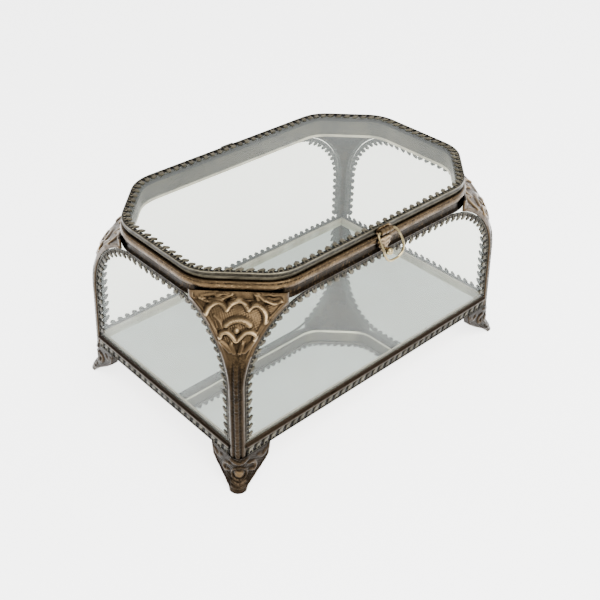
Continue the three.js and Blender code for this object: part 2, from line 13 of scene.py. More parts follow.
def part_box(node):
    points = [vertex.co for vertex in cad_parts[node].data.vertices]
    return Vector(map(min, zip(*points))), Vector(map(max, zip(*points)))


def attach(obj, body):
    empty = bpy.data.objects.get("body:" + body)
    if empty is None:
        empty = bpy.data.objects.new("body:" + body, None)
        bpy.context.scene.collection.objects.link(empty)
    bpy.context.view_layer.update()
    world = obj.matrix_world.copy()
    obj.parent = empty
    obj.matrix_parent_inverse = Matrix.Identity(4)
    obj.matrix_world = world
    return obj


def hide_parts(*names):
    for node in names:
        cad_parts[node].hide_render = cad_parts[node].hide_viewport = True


bl_info = {
    "name": "Glass Trinket Box",
    "version": (1, 0, 0),
    "blender": (4, 5, 0),
    "location": "3D View > Sidebar > Trinket Box",
    "description": "Adds relief, edging, finishes and a stage to the packed trinket box",
    "category": "Object",
}

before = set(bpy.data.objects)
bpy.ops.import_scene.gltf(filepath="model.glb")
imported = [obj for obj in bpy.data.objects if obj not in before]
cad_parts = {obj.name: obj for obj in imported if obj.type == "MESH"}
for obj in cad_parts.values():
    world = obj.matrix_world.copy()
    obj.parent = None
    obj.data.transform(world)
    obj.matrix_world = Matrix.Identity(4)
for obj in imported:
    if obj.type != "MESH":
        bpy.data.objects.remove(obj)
MM = 0.001
RIGHT_ANGLE = math.pi / 2


# ---- Settings ----------------------------------------------------------------------


def length(name, value, description):
    """A length in metres, given here in millimetres."""
    return FloatProperty(
        name=name, description=description, default=value * MM, unit="LENGTH", precision=5
    )


def colour(name, value, description):
    return FloatVectorProperty(
        name=name, description=description, default=value, size=3, subtype="COLOR", min=0, max=1
    )


class CASKET_PG_edging(bpy.types.PropertyGroup):
    pitch: length("Pitch", 4.55, "Distance from one leaf to the next")
    leaf_length: length("Leaf length", 2.5, "Length of a leaf beyond its eyelet")
    leaf_width: length("Leaf width", 3.3, "Width of a leaf at its widest")
    slant: length("Slant", 1.1, "How far a leaf's tip leans along the strip")
    eyelet: length("Eyelet", 0.95, "Radius of the wire round an eyelet")
    band: length("Band", 0.6, "Width of the plain band that carries the leaves")


class CASKET_PG_corner(bpy.types.PropertyGroup):
    lean: FloatProperty(
        name="Lean", description="How far the walls lean in, per unit of height", default=0.038
    )
    arch_start: length("Arch start", 54.0, "Height at which a post begins to widen")
    arch_reach_x: length("Arch reach X", 38.0, "Spandrel reach along a long pane")
    arch_reach_y: length("Arch reach Y", 33.0, "Spandrel reach along an end pane")
    post_reach: length("Post reach", 4.2, "Width of a post on each pane")
    proud: length("Proud", 1.0, "Outer face of a post, proud of the glass")
    flange: length("Flange", 1.7, "Flat edge of a corner, in the plane of the glass")
    face_end: length("Face end", 27.644, "Where the chamfered face ends on a pane")
    sheet: length("Sheet", 0.7, "Thickness of the stamped sheet")


class CASKET_PG_colours(bpy.types.PropertyGroup):
    bronze: colour("Bronze", (0.066, 0.043, 0.022), "Copper-bronze plating")
    # Painted highlight on the raised relief, partly rubbed plating.
    bronze_highlight_and_wear: colour("Bronze high", (0.46, 0.325, 0.175), "Plating rubbed bright")
    # Painted shade in the recesses of stamped and cast relief; on plain rails, real tarnish.
    bronze_tarnish_and_shade: colour("Bronze deep", (0.006, 0.004, 0.0022), "Tarnish in the recesses")
    olive: colour("Olive", (0.06, 0.052, 0.035), "Dull plating with a green-brown cast")
    leaf: colour("Leaf", (0.04, 0.036, 0.026), "Edging leaves")
    # Painted shade in the leaves' hollows, in the dark backing between them and in the eyelets'
    # holes; on plain inner strips, real tarnish.
    leaf_tarnish_and_shade: colour("Leaf deep", (0.006, 0.005, 0.004), "Tarnish round the leaves")
    dark: colour("Dark", (0.026, 0.018, 0.011), "Tarnished rails and feet")
    # Painted highlight on the crests of the leaves, partly rubbed wear; on plain inner strips, the
    # bright brushing streaks.
    leaf_high: colour("Leaf high", (0.17, 0.15, 0.105), "Rubbed tips of the leaves")
    # Painted shade: a darker copy of the leaf colours for the upright leaves on the walls, which take
    # less light than the lid's.
    wall_leaf_shaded: colour("Wall leaf", (0.022, 0.02, 0.0145), "Upright leaves, more tarnished")
    wall_leaf_shaded_high: colour("Wall leaf high", (0.1, 0.09, 0.065), "Their rubbed tips")
    pale: colour("Pale", (0.5, 0.46, 0.36), "Inner strips and solder")
    brass: colour("Brass", (0.33, 0.27, 0.14), "Drawn wire and rubbed knob")
    glass: colour("Glass", (0.905, 0.912, 0.893), "What clear glass lets through")
    mirror: colour("Mirror", (0.9, 0.985, 0.98), "Silvering seen through glass")
    board: colour("Board", (0.09, 0.07, 0.05), "Backing board")


class CASKET_PG_stage(bpy.types.PropertyGroup):
    floor: colour("Floor", (0.92, 0.92, 0.915), "Pale floor")
    glow: FloatProperty(name="Glow", description="Light the lit paper gives back", default=3.4)
    world: FloatProperty(name="World", description="Strength of the soft room light", default=1.35)
    key: FloatProperty(name="Key", description="Power of the large key light, in watts", default=14.0)
    fill: FloatProperty(name="Fill", description="Power of the fill light, in watts", default=3.0)
    lens: FloatProperty(
        name="Lens", description="Focal length", default=54.08, unit="CAMERA"
    )


def settings(name):
    return getattr(bpy.context.scene, "casket_" + name)


# ---- Shader maths ------------------------------------------------------------------


class Wire:
    """A node output that takes part in Python arithmetic."""

    def __init__(self, graph, socket):
        self.graph = graph
        self.socket = socket

    def maths(self, operation, *values):
        return self.graph.node("ShaderNodeMath", {"operation": operation}, list(values))

    def __add__(self, other):
        return self.maths("ADD", self, other)

    def __radd__(self, other):
        return self.maths("ADD", other, self)

    def __sub__(self, other):
        return self.maths("SUBTRACT", self, other)

    def __rsub__(self, other):
        return self.maths("SUBTRACT", other, self)

    def __mul__(self, other):
        return self.maths("MULTIPLY", self, other)

    def __rmul__(self, other):
        return self.maths("MULTIPLY", other, self)

    def __truediv__(self, other):
        return self.maths("DIVIDE", self, other)

    def __rtruediv__(self, other):
        return self.maths("DIVIDE", other, self)

    def __pow__(self, other):
        return self.maths("POWER", self, other)

    def clamp(self):
        return self.maths("MINIMUM", self.maths("MAXIMUM", self, 0.0), 1.0)


class Graph:
    """A material's node tree, built by calls."""

    def __init__(self, name):
        self.material = bpy.data.materials.new(name)
        self.material.use_nodes = True
        self.tree = self.material.node_tree
        self.tree.nodes.clear()

    def feed(self, socket, value):
        if isinstance(value, Wire):
            self.tree.links.new(value.socket, socket)
        elif hasattr(value, "__len__") and len(socket.default_value) == 4 and len(value) == 3:
            socket.default_value = (*value, 1.0)
        else:
            socket.default_value = value

    def node(self, kind, options=None, values=(), out=0):
        """Adds a node: its settings first, then its socket values, by order or by name."""
        made = self.tree.nodes.new(kind)
        for key, value in (options or {}).items():
            setattr(made, key, value)
        pairs = values.items() if isinstance(values, dict) else enumerate(values)
        for key, value in pairs:
            self.feed(made.inputs[key], value)
        return Wire(self, made.outputs[out])

    def mix(self, share, low, high):
        values = {0: share, 6: low, 7: high}
        return self.node("ShaderNodeMix", {"data_type": "RGBA"}, values, out=2)

    def place(self):
        return self.node("ShaderNodeTexCoord", out=3)

    def noise(self, scale, detail=3.0, roughness=0.55, place=None):
        values = {
            "Vector": place or self.place(),
            "Scale": scale,
            "Detail": detail,
            "Roughness": roughness,
        }
        return self.node("ShaderNodeTexNoise", None, values)

    def smooth(self, value, low, high):
        """0 below low and 1 above high, with a soft step between."""
        values = {"Value": value, "From Min": low, "From Max": high}
        return self.node("ShaderNodeMapRange", {"interpolation_type": "SMOOTHSTEP"}, values)

    def attribute(self, name):
        return self.node("ShaderNodeAttribute", {"attribute_name": name}, out=2)

    def bump(self, height, distance, strength=1.0):
        values = {"Strength": strength, "Distance": distance, "Height": height}
        return self.node("ShaderNodeBump", None, values)

    def stretched(self, x, y, z):
        """Object coordinates scaled on each axis, for streaks and brushing."""
        options = {"operation": "MULTIPLY"}
        return self.node("ShaderNodeVectorMath", options, [self.place(), (x, y, z)])

    def finish(self, shader):
        output = self.tree.nodes.new("ShaderNodeOutputMaterial")
        self.tree.links.new(shader.socket, output.inputs[0])
        return self.material

    def principled(self, values):
        return self.finish(self.node("ShaderNodeBsdfPrincipled", None, values))


made_materials = {}


def material(name):
    """The named finish, made on first use."""
    if name not in made_materials:
        made_materials[name] = FINISHES[name](name)
    return made_materials[name]


def relief_metal(name, base, high, deep, rough):
    """Stamped, plated metal: painted shade darkens the recesses, and painted highlights with rubbed
    wear brighten the relief.
    """
    graph = Graph(name)
    # The relief attribute holds painted light and shade: low values are painted shade, high values
    # painted highlights.
    relief = graph.attribute("relief")
    blotch = graph.noise(170.0, 4.0)
    fine = graph.noise(1500.0, 3.0, 0.65)
    grime = graph.smooth(blotch + fine * 0.5, 0.62, 0.95)
    raised = (relief + (fine - 0.5) * 0.35 + (blotch - 0.5) * 0.3).clamp()
    # Painted shade: the body darkens to the deep colour where the relief value is low.
    body = graph.mix(graph.smooth(raised, 0.03, 0.34), deep, base)
    # Painted highlight, partly rubbed wear: the raised relief brightens to the high colour.
    worn_and_highlit = graph.mix(graph.smooth(raised, 0.42, 0.92), body, high)
    stained = graph.mix(grime * 0.45, worn_and_highlit, deep)
    height = fine * 0.6 + blotch * 0.4
    return graph.principled({
        "Base Color": stained,
        "Metallic": 1.0,
        "Roughness": (rough + (blotch - 0.5) * 0.25 + grime * 0.15).clamp(),
        "Normal": graph.bump(height, 0.00022, 0.5),
    })


def plain_metal(
    name, base, deep, rough, share=0.5, streak=(60.0, 60.0, 420.0), bright=None, metallic=1.0
):
    """Plain plated sheet: brushed streaks, tarnish clouds and fine pits."""
    graph = Graph(name)
    streaks = graph.noise(1.0, 3.0, 0.6, graph.stretched(*streak))
    cloud = graph.noise(95.0, 4.0, 0.6)
    fine = graph.noise(1900.0, 2.0)
    tarnish = graph.smooth(cloud * 0.65 + streaks * 0.35 + (fine - 0.5) * 0.25, 0.4, 0.66)
    body = graph.mix(tarnish * share, base, deep)
    if bright is not None:
        body = graph.mix(graph.smooth(streaks, 0.56, 0.76) * 0.45, body, bright)
    height = streaks * 0.6 + fine * 0.4
    return graph.principled({
        "Base Color": body,
        "Metallic": metallic,
        "Roughness": (rough + (cloud - 0.5) * 0.3 + tarnish * 0.12).clamp(),
        "Normal": graph.bump(height, 0.00012, 0.45),
    })


def bronze(name):
    c = settings("colours")
    return relief_metal(name, c.bronze, c.bronze_highlight_and_wear, c.bronze_tarnish_and_shade, 0.27)


def foot_bronze(name):
    c = settings("colours")
    return relief_metal(name, c.dark, c.bronze, c.bronze_tarnish_and_shade, 0.3)


def leaf_metal(name):
    c = settings("colours")
    return relief_metal(name, c.leaf, c.leaf_high, c.leaf_tarnish_and_shade, 0.38)


# A shaded copy of the leaf metal, for the upright leaves on the walls.
def wall_leaf_shaded_metal(name):
    c = settings("colours")
    return relief_metal(name, c.wall_leaf_shaded, c.wall_leaf_shaded_high, c.leaf_tarnish_and_shade, 0.4)


def rim_metal(name):
    c = settings("colours")
    return relief_metal(name, c.bronze, c.bronze_highlight_and_wear, c.bronze_tarnish_and_shade, 0.3)


def rail_metal(name):
    c = settings("colours")
    return plain_metal(name, c.olive, c.bronze_tarnish_and_shade, 0.36, 0.85)


def inside_metal(name):
    c = settings("colours")
    return plain_metal(name, c.olive, c.leaf_tarnish_and_shade, 0.46, 0.5, (40.0, 40.0, 260.0), c.leaf_high)


def pale_metal(name):
    c = settings("colours")
    return plain_metal(name, c.pale, c.olive, 0.38, 0.4, bright=c.glass, metallic=0.45)


def wire_metal(name):
    c = settings("colours")
    return plain_metal(name, c.brass, c.bronze, 0.22, 0.8, (300.0, 300.0, 300.0), c.pale)


def backing(name):
    """Fibrous board, matt and mottled."""
    c = settings("colours")
    graph = Graph(name)
    fibre = graph.noise(1.0, 5.0, 0.7, graph.stretched(300.0, 900.0, 300.0))
    cloud = graph.noise(60.0, 3.0)
    lighter = tuple(min(1.0, v * 2.0) for v in c.board)
    return graph.principled({
        "Base Color": graph.mix((fibre * 0.7 + cloud * 0.3).clamp(), c.board, lighter),
        "Roughness": 0.92 - fibre * 0.15,
        "Normal": graph.bump(fibre, 0.0003, 0.6),
    })


def clear_glass(name):
    """Thin clear sheet: passes light, catches reflections towards its edges, faintly smeared."""
    c = settings("colours")
    graph = Graph(name)
    smear = graph.noise(38.0, 4.0, 0.6)
    dust = graph.smooth(graph.noise(900.0, 3.0, 0.7), 0.66, 0.8)
    film = graph.smooth(smear, 0.5, 0.8) * 0.02 + dust * 0.02
    through = graph.node("ShaderNodeBsdfTransparent", None, {"Color": c.glass})
    surface = graph.node("ShaderNodeBsdfPrincipled", None, {
        "Base Color": (0.82, 0.86, 0.84, 1.0),
        "Metallic": 0.0,
        "Roughness": 0.03 + smear * 0.05,
        "IOR": 1.5,
        "Specular IOR Level": 1.0,
    })
    facing = graph.node("ShaderNodeLayerWeight", None, {"Blend": 0.5}, out=1)
    share = (facing ** 5.0 * 0.7 + film + 0.035).clamp()
    mixed = graph.node("ShaderNodeMixShader", None, {0: share, 1: through, 2: surface})
    return graph.finish(mixed)


def mirror_glass(name):
    """Silvered glass: soft blue-green, with faint scuffs and a few foxed specks."""
    c = settings("colours")
    graph = Graph(name)
    cloud = graph.noise(26.0, 4.0, 0.6)
    speck = graph.smooth(graph.noise(650.0, 2.0), 0.73, 0.8)
    scuff = graph.smooth(graph.noise(1.0, 3.0, 0.6, graph.stretched(30.0, 520.0, 30.0)), 0.6, 0.85)
    warmer = tuple(v * s for v, s in zip(c.mirror, (0.97, 0.955, 0.93)))
    body = graph.mix(graph.smooth(cloud, 0.4, 0.68), c.mirror, warmer)
    return graph.principled({
        "Base Color": graph.mix(speck * 0.3, body, c.olive),
        "Metallic": 1.0,
        "Roughness": (0.008 + cloud * 0.02 + scuff * 0.05).clamp(),
    })


def floor_paper(name):
    s = settings("stage")
    graph = Graph(name)
    cloud = graph.noise(3.0, 3.0)
    grain = graph.noise(700.0, 2.0)
    shade = tuple(v * 0.985 for v in s.floor)
    return graph.principled({
        "Base Color": graph.mix((cloud * 0.7 + grain * 0.3).clamp(), s.floor, shade),
        "Roughness": 0.8 + grain * 0.1,
        "Emission Color": graph.mix(cloud, s.floor, shade),
        "Emission Strength": s.glow,
    })


FINISHES = {
    "bronze": bronze,
    "foot_bronze": foot_bronze,
    "leaf_metal": leaf_metal,
    "wall_leaf_shaded_metal": wall_leaf_shaded_metal,
    "rim_metal": rim_metal,
    "rail_metal": rail_metal,
    "inside_metal": inside_metal,
    "pale_metal": pale_metal,
    "wire_metal": wire_metal,
    "backing": backing,
    "clear_glass": clear_glass,
    "mirror_glass": mirror_glass,
    "floor_paper": floor_paper,
}


# ---- Mesh helpers ------------------------------------------------------------------


def box_mm(node):
    """Lowest and highest corner of a CAD node, in millimetres."""
    low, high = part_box(node)
    return low / MM, high / MM


def mm(value):
    return value / MM


class Maker:
    """Gathers vertices in millimetres, faces, finishes and a relief value for each vertex: the
    painted light and shade that the finishes read.
    """

    def __init__(self, name, finishes):
        self.name = name
        self.finishes = finishes
        self.points = []
        self.relief = []
        self.faces = []
        self.slots = []
        self.count = 0

    def add(self, points, faces, relief=0.5, slot=0):
        points = np.asarray(points, float).reshape(-1, 3)
        start = self.count
        self.points.append(points)
        self.relief.append(np.broadcast_to(np.asarray(relief, float), (len(points),)))
        self.faces.extend(tuple(start + k for k in face) for face in faces)
        self.slots.extend(slot if isinstance(slot, list) else [slot] * len(faces))
        self.count += len(points)

    def rows(self, rows, relief=0.5, slot=0, closed=False):
        """A skin over equal rows, each a ring: closed joins the last to the first, and
        otherwise both ends are capped. Closed rows may have a slot for each face of a ring."""
        array = np.asarray(rows, float)
        levels, around = array.shape[:2]
        faces = []
        for i in range(levels if closed else levels - 1):
            here, above = i * around, ((i + 1) % levels) * around
            for k in range(around):
                j = (k + 1) % around
                faces.append((here + k, here + j, above + j, above + k))
        if not closed:
            faces.append(tuple(reversed(range(around))))
            faces.append(tuple((levels - 1) * around + k for k in range(around)))
        if isinstance(slot, list):
            slot = slot * levels
        self.add(array.reshape(-1, 3), faces, np.asarray(relief).reshape(-1), slot)

    def build(self, body, replaced=(), sharp=40.0):
        mesh = bpy.data.meshes.new(self.name)
        points = np.concatenate(self.points) * MM
        mesh.from_pydata(points.tolist(), [], self.faces)
        # The relief attribute: painted light and shade for each vertex.
        values = mesh.attributes.new("relief", "FLOAT", "POINT")
        values.data.foreach_set("value", np.concatenate(self.relief).astype(np.float32))
        for finish in self.finishes:
            mesh.materials.append(material(finish))
        mesh.polygons.foreach_set("material_index", self.slots)
        made = bpy.data.objects.new(self.name, mesh)
        bpy.context.scene.collection.objects.link(made)
        bpy.ops.object.select_all(action="DESELECT")
        made.select_set(True)
        bpy.context.view_layer.objects.active = made
        bpy.ops.object.mode_set(mode="EDIT")
        bpy.ops.mesh.select_all(action="SELECT")
        bpy.ops.mesh.normals_make_consistent(inside=False)
        bpy.ops.object.mode_set(mode="OBJECT")
        bpy.ops.object.shade_smooth_by_angle(angle=math.radians(sharp))
        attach(made, body)
        if replaced:
            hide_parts(*replaced)
        return made


def resample(points, step, closed=False):
    """Even stations along a polyline: their places and directions."""
    line = np.asarray(points, float)
    if closed:
        line = np.vstack([line, line[:1]])
    gaps = np.linalg.norm(np.diff(line, axis=0), axis=1)
    along = np.concatenate([[0.0], np.cumsum(gaps)])
    count = max(2, round(along[-1] / step))
    at = (np.arange(count) + 0.5) * along[-1] / count
    places = np.stack([np.interp(at, along, line[:, k]) for k in range(3)], 1)
    small = along[-1] / count * 0.4
    after = np.stack([np.interp(at + small, along, line[:, k]) for k in range(3)], 1)
    before = np.stack([np.interp(at - small, along, line[:, k]) for k in range(3)], 1)
    ways = after - before
    return places, ways / np.linalg.norm(ways, axis=1)[:, None]


def unit(vector):
    vector = np.asarray(vector, float)
    return vector / np.linalg.norm(vector)


def sweep(maker, points, normal, section, side, relief, slot=0, closed=False):
    """Sweeps a section of (across, out) pairs along a polyline lying square to normal."""
    line = np.asarray(points, float)
    count = len(line)
    rows = []
    for k in range(count):
        before = line[(k - 1) % count] if closed or k > 0 else line[k]
        after = line[(k + 1) % count] if closed or k < count - 1 else line[k]
        way = unit(after - before)
        across = np.cross(normal, way) * side
        turn = 1.0
        if (closed or 0 < k < count - 1):
            turn = 1.0 / max(0.5, float(np.dot(unit(line[k] - before), way)))
        rows.append([line[k] + across * a * turn + normal * n for a, n in section])
    values = np.tile(np.asarray(relief, float), (count, 1))
    maker.rows(rows, values, slot, closed)


# ---- Leaf edging -------------------------------------------------------------------

# A leaf's blade: widths by share of its length, stations across it, heights and painted shades: a
# painted highlight rising to the crest of its dome, painted shade along its vein.
LEAF_WIDTHS = (0.5, 0.78, 0.98, 1.0, 0.86, 0.6, 0.2)
LEAF_ACROSS = (-1.0, -0.72, -0.3, 0.0, 0.3, 0.72, 1.0)
LEAF_FLOOR, LEAF_EDGE, LEAF_RISE, LEAF_VEIN = 0.04, 0.16, 0.4, 0.1
EDGE_SHADE, DOME_SHADE, VEIN_SHADE, BACK_SHADE = 0.25, 0.6, 0.3, 0.4
# The eyelet under it: wire radius and stations, how oval it is and how far its middle sinks.
EYELET_SIDES, EYELET_AROUND, EYELET_WIRE = 6, 14, 0.22
EYELET_OVAL, EYELET_SINK = 1.15, 0.35
# The hole's disc: its inset and lift, and its painted shade, a dark disc where the hole shows only
# shadow.
HOLE_INSET, HOLE_LIFT, HOLE_SHADE = 0.1, 0.2, -1.0


def leaf_template():
    """One leaf and its eyelet as (along, across, out), with faces and relief."""
    e = settings("edging")
    points, relief, faces = [], [], []
    root = mm(e.band) + 1.3 * mm(e.eyelet)
    rows = len(LEAF_WIDTHS)
    columns = len(LEAF_ACROSS)
    for level in range(2):
        for i, share in enumerate(LEAF_WIDTHS):
            t = i / (rows - 1)
            for a in LEAF_ACROSS:
                dome = (1 - a * a) * math.sin(math.pi * (0.25 + 0.6 * t))
                vein = LEAF_VEIN * (a == 0.0)
                rise = LEAF_EDGE + LEAF_RISE * dome - vein if level == 0 else LEAF_FLOOR
                shade = EDGE_SHADE + DOME_SHADE * dome - VEIN_SHADE * (a == 0.0)
                along = mm(e.slant) * t ** 1.3 + a * share * mm(e.leaf_width) / 2
                points.append((along, root + t * mm(e.leaf_length), rise))
                relief.append(shade if level == 0 else BACK_SHADE)
    half = rows * columns
    for i in range(rows - 1):
        for k in range(columns - 1):
            a = i * columns + k
            faces.append((a, a + 1, a + columns + 1, a + columns))
            faces.append((half + a, half + a + columns, half + a + columns + 1, half + a + 1))
    rim = [k for k in range(columns)]
    rim += [i * columns + columns - 1 for i in range(1, rows)]
    rim += [(rows - 1) * columns + k for k in range(columns - 2, -1, -1)]
    rim += [i * columns for i in range(rows - 2, 0, -1)]
    for k, here in enumerate(rim):
        there = rim[(k + 1) % len(rim)]
        faces.append((here, half + here, half + there, there))
    start = len(points)
    middle = mm(e.band) + mm(e.eyelet) - EYELET_SINK
    for i in range(EYELET_AROUND):
        turn = 2 * math.pi * i / EYELET_AROUND
        for k in range(EYELET_SIDES):
            lift = 2 * math.pi * k / EYELET_SIDES
            reach = mm(e.eyelet) + EYELET_WIRE * math.cos(lift)
            points.append((
                reach * math.cos(turn) * EYELET_OVAL,
                middle + reach * math.sin(turn),
                LEAF_EDGE + EYELET_WIRE * (0.6 + math.sin(lift)) * 0.8,
            ))
            # Painted light on the eyelet wire: lighter on its outer side, darker against the strip.
            relief.append(0.5 + 0.35 * math.sin(lift))
            j, m = (i + 1) % EYELET_AROUND, (k + 1) % EYELET_SIDES
            faces.append((
                start + i * EYELET_SIDES + k, start + j * EYELET_SIDES + k,
                start + j * EYELET_SIDES + m, start + i * EYELET_SIDES + m,
            ))
    # A dark disc of painted shade fills the eyelet's hole.
    hole = len(points)
    for i in range(EYELET_AROUND):
        turn = 2 * math.pi * i / EYELET_AROUND
        reach = mm(e.eyelet) - HOLE_INSET
        points.append((
            reach * math.cos(turn) * EYELET_OVAL, middle + reach * math.sin(turn), HOLE_LIFT,
        ))
        relief.append(HOLE_SHADE)
    faces.append(tuple(range(hole, hole + EYELET_AROUND)))
    return np.array(points), faces, np.array(relief)


# The band's section, with painted light: lighter on its outer face, darker down its sides.
BAND_SECTION = ((0.0, 0.0), (0.0, 0.34), (0.2, 0.52), (0.5, 0.52), (0.7, 0.34), (0.7, 0.0))
BAND_PAINTED_SHADES = (0.1, 0.15, 0.34, 0.34, 0.15, 0.1)
# The backing: a dark strip of painted shade under the leaves.
BACK_SECTION = ((0.1, -0.02), (0.1, 0.06), (2.3, 0.06), (2.3, -0.02))
# How much leaves differ: share of their width, their tips in millimetres, their shade. The tip starts
# at one length, and only metal above the dark limit is brightened by a lift of painted light.
WIDTH_SPREAD, TIP_SPREAD, SHADE_SPREAD = 0.07, 0.12, 0.12
TIP_START, DARK_LIMIT = 1.8, 0.2


def add_leaves(maker, template, points, normal, side, closed=False, ceiling=None, lift=0.0):
    """Leaves, band and a dark backing strip of painted shade along a polyline: leaves point to normal
    x way x side, and stand only where the strip is below the ceiling. Lift brightens the metal with
    painted light."""
    e = settings("edging")
    shape, faces, relief = template
    places, ways = resample(points, mm(e.pitch), closed)
    wobble = random.Random(len(places))
    for place, way in zip(places, ways):
        if ceiling is not None and place[2] > ceiling:
            continue
        across = np.cross(normal, way) * side
        local = shape.copy()
        local[:, 0] *= 1 + wobble.uniform(-WIDTH_SPREAD, WIDTH_SPREAD)
        local[:, 1] += (local[:, 1] > TIP_START) * wobble.uniform(-TIP_SPREAD, TIP_SPREAD)
        world = place + np.outer(local[:, 0], way) + np.outer(local[:, 1], across)
        world = world + np.outer(local[:, 2], normal)
        shade = wobble.uniform(-SHADE_SPREAD, SHADE_SPREAD)
        # Lift adds painted light to the metal above the dark limit.
        maker.add(world, faces, np.clip(relief + shade + lift * (relief > DARK_LIMIT), 0, 1))
    sweep(maker, points, normal, BAND_SECTION, side, BAND_PAINTED_SHADES, 0, closed)
    # A dark backing strip, painted shade between the leaves.
    sweep(maker, points, normal, BACK_SECTION, side, [0.0] * 4, 0, closed)


class Case:
    """Measures of the case read from the CAD nodes, in millimetres."""

    def __init__(self):
        c = settings("corner")
        front, back = box_mm("pane_front"), box_mm("pane_back")
        right = box_mm("pane_right")
        self.lean = c.lean
        self.low = box_mm("rail_front")[0].z
        self.top = front[1].z
        up = self.lean * (front[0].z - self.low)
        self.middle = (front[0].y + back[1].y) / 2
        self.x = right[1].x + up
        self.y = (back[1].y - front[0].y) / 2 + up
        self.arch = mm(c.arch_start)
        self.rise = self.top - self.arch

    def leaned(self, z):
        return self.lean * (min(max(z, self.low), self.top) - self.low)

    def side(self, name):
        """Outward and lengthwise directions of a side, its distance and half length."""
        out = {"front": (0, -1), "right": (1, 0), "back": (0, 1), "left": (-1, 0)}[name]
        along = (-out[1], out[0])
        distance, half = (self.y, self.x) if out[0] == 0 else (self.x, self.y)
        return np.array([*out, 0.0]), np.array([*along, 0.0]), distance, half

    def on_wall(self, name, along, z, out):
        """A point on a leaning wall."""
        normal, way, distance, _ = self.side(name)
        lean = self.leaned(z)
        reach = along - math.copysign(lean, along)
        point = normal * (distance + out - lean) + way * reach
        return point + np.array([0.0, self.middle, z])

    def tilt(self, name):
        """Outward normal of a leaning wall."""
        normal = self.side(name)[0]
        return unit(normal + np.array([0.0, 0.0, self.lean]))


# Strips round the panes, in mm: clear of the post, proud of the glass, stations of an arch,
# how far they stop past the middle, and where the back pane's leaves end below its top.
ARCH_GAP, STRIP_PROUD, ARCH_STEPS, PAST_MIDDLE, PLAIN_TOP = 0.3, 0.27, 28, 0.05, 2.0


def arch_path(case, name, sign, foot):
    """From a post's foot up round its arch to the middle of the top edge."""
    c = settings("corner")
    reach = mm(c.arch_reach_x if name in ("front", "back") else c.arch_reach_y)
    half = case.side(name)[3]
    centre = half - mm(c.post_reach) - reach
    points = [case.on_wall(name, sign * (centre + reach - ARCH_GAP), foot, STRIP_PROUD)]
    for k in range(ARCH_STEPS + 1):
        angle = RIGHT_ANGLE * k / ARCH_STEPS
        along = centre + (reach - ARCH_GAP) * math.cos(angle)
        z = case.arch + (case.rise - ARCH_GAP) * math.sin(angle)
        points.append(case.on_wall(name, sign * along, z, STRIP_PROUD))
    last = points[-1].copy()
    way = case.side(name)[1]
    last = last - way * np.dot(last - np.array([0, case.middle, 0]), way)
    points.append(last + way * sign * PAST_MIDDLE)
    return points


# Base strips, in mm: where they stand in their CAD strip, the leaves' place at the far sides,
# the fold over the foot of the glass at the near sides, and the plain band at the far ones.
BASE_INSET, BASE_LIFT, BASE_FOLD_DROP = 0.62, 0.1, 0.9
FAR_LEAF_HEIGHT, FAR_LEAF_INSET = 4.5, 0.5
FAR_BAND = ((0.0, -0.1), (0.0, 0.4), (0.3, 0.6), (2.6, 0.6), (3.1, 0.2), (3.1, -0.3))
# Painted light across the far band: brightest on its outer face, darker at its edges.
FAR_BAND_SHADES = (0.1, 0.3, 0.5, 0.4, 0.3, 0.1)
NEAR_FOOT = ((4.3, -0.05), (4.3, 0.45), (4.7, 0.6), (5.2, 0.5), (5.5, 0.3))
NEAR_FOLD = ((-0.5, 0.75), (-0.1, 0.7), (0.0, 0.45), (-0.3, 0.3))
NEAR_HEEL = (5.2, -0.1)
# Painted light across the near foot and fold: brighter on the faces turned out, darker at the edges
# and heel.
NEAR_SHADES = (0.05, 0.2, 0.45, 0.3, 0.15, 0.25, 0.4, 0.2, 0.1, 0.1)


class CASKET_OT_pane_edging(bpy.types.Operator):
    """Adds the pierced leaf strips round the panes and along the base"""

    bl_idname = "casket.pane_edging"
    bl_label = "Pane edging"

    def execute(self, context):
        case = Case()
        template = leaf_template()
        for name in ("front", "right", "back", "left"):
            strip = box_mm(f"arch_gallery_{name}_a")
            maker = Maker(f"edging_{name}", ["wall_leaf_shaded_metal"])
            for sign in (-1, 1):
                path = arch_path(case, name, sign, strip[0].z)
                ceiling = case.top - PLAIN_TOP if name == "back" else None
                add_leaves(maker, template, path, case.tilt(name), sign, False, ceiling)
            nodes = [f"arch_gallery_{name}_a", f"arch_gallery_{name}_b", f"top_gallery_{name}"]
            maker.build("case", nodes)
            self.base(case, name, template)
        return {"FINISHED"}

    def base(self, case, name, template):
        """Upright leaves along the foot of a wall, under a plain folded band."""
        node = f"base_gallery_{name}"
        low, high = box_mm(node)
        normal, way, distance, _ = case.side(name)
        reach = (high - low).dot(Vector(np.abs(way))) / 2
        proud = max(abs(low.dot(Vector(normal))), abs(high.dot(Vector(normal))))
        proud -= abs(case.middle * normal[1]) * (1 if normal[1] > 0 else -1)
        face = proud - BASE_INSET
        centre = np.array([0.0, case.middle, 0.0])
        start = centre + normal * face + np.array([0, 0, low.z + BASE_LIFT])
        path = [start - way * reach, start + way * reach]
        maker = Maker(f"base_edging_{name}", ["wall_leaf_shaded_metal", "foot_bronze"])
        if name in ("back", "right"):
            climb = np.array([0, 0, high.z - low.z - FAR_LEAF_HEIGHT]) - normal * FAR_LEAF_INSET
            add_leaves(maker, template, [p + climb for p in path], normal, 1)
            section, shades = FAR_BAND, FAR_BAND_SHADES
        else:
            add_leaves(maker, template, path, normal, 1)
            glass = distance - case.leaned(high.z) - face
            top = high.z - low.z - BASE_FOLD_DROP
            fold = [(top + rise, glass + out) for rise, out in NEAR_FOLD]
            section, shades = [*NEAR_FOOT, *fold, NEAR_HEEL], NEAR_SHADES
        sweep(maker, path, normal, section, 1, shades, 1)
        maker.build("case", [node])


# ---- Corners -----------------------------------------------------------------------

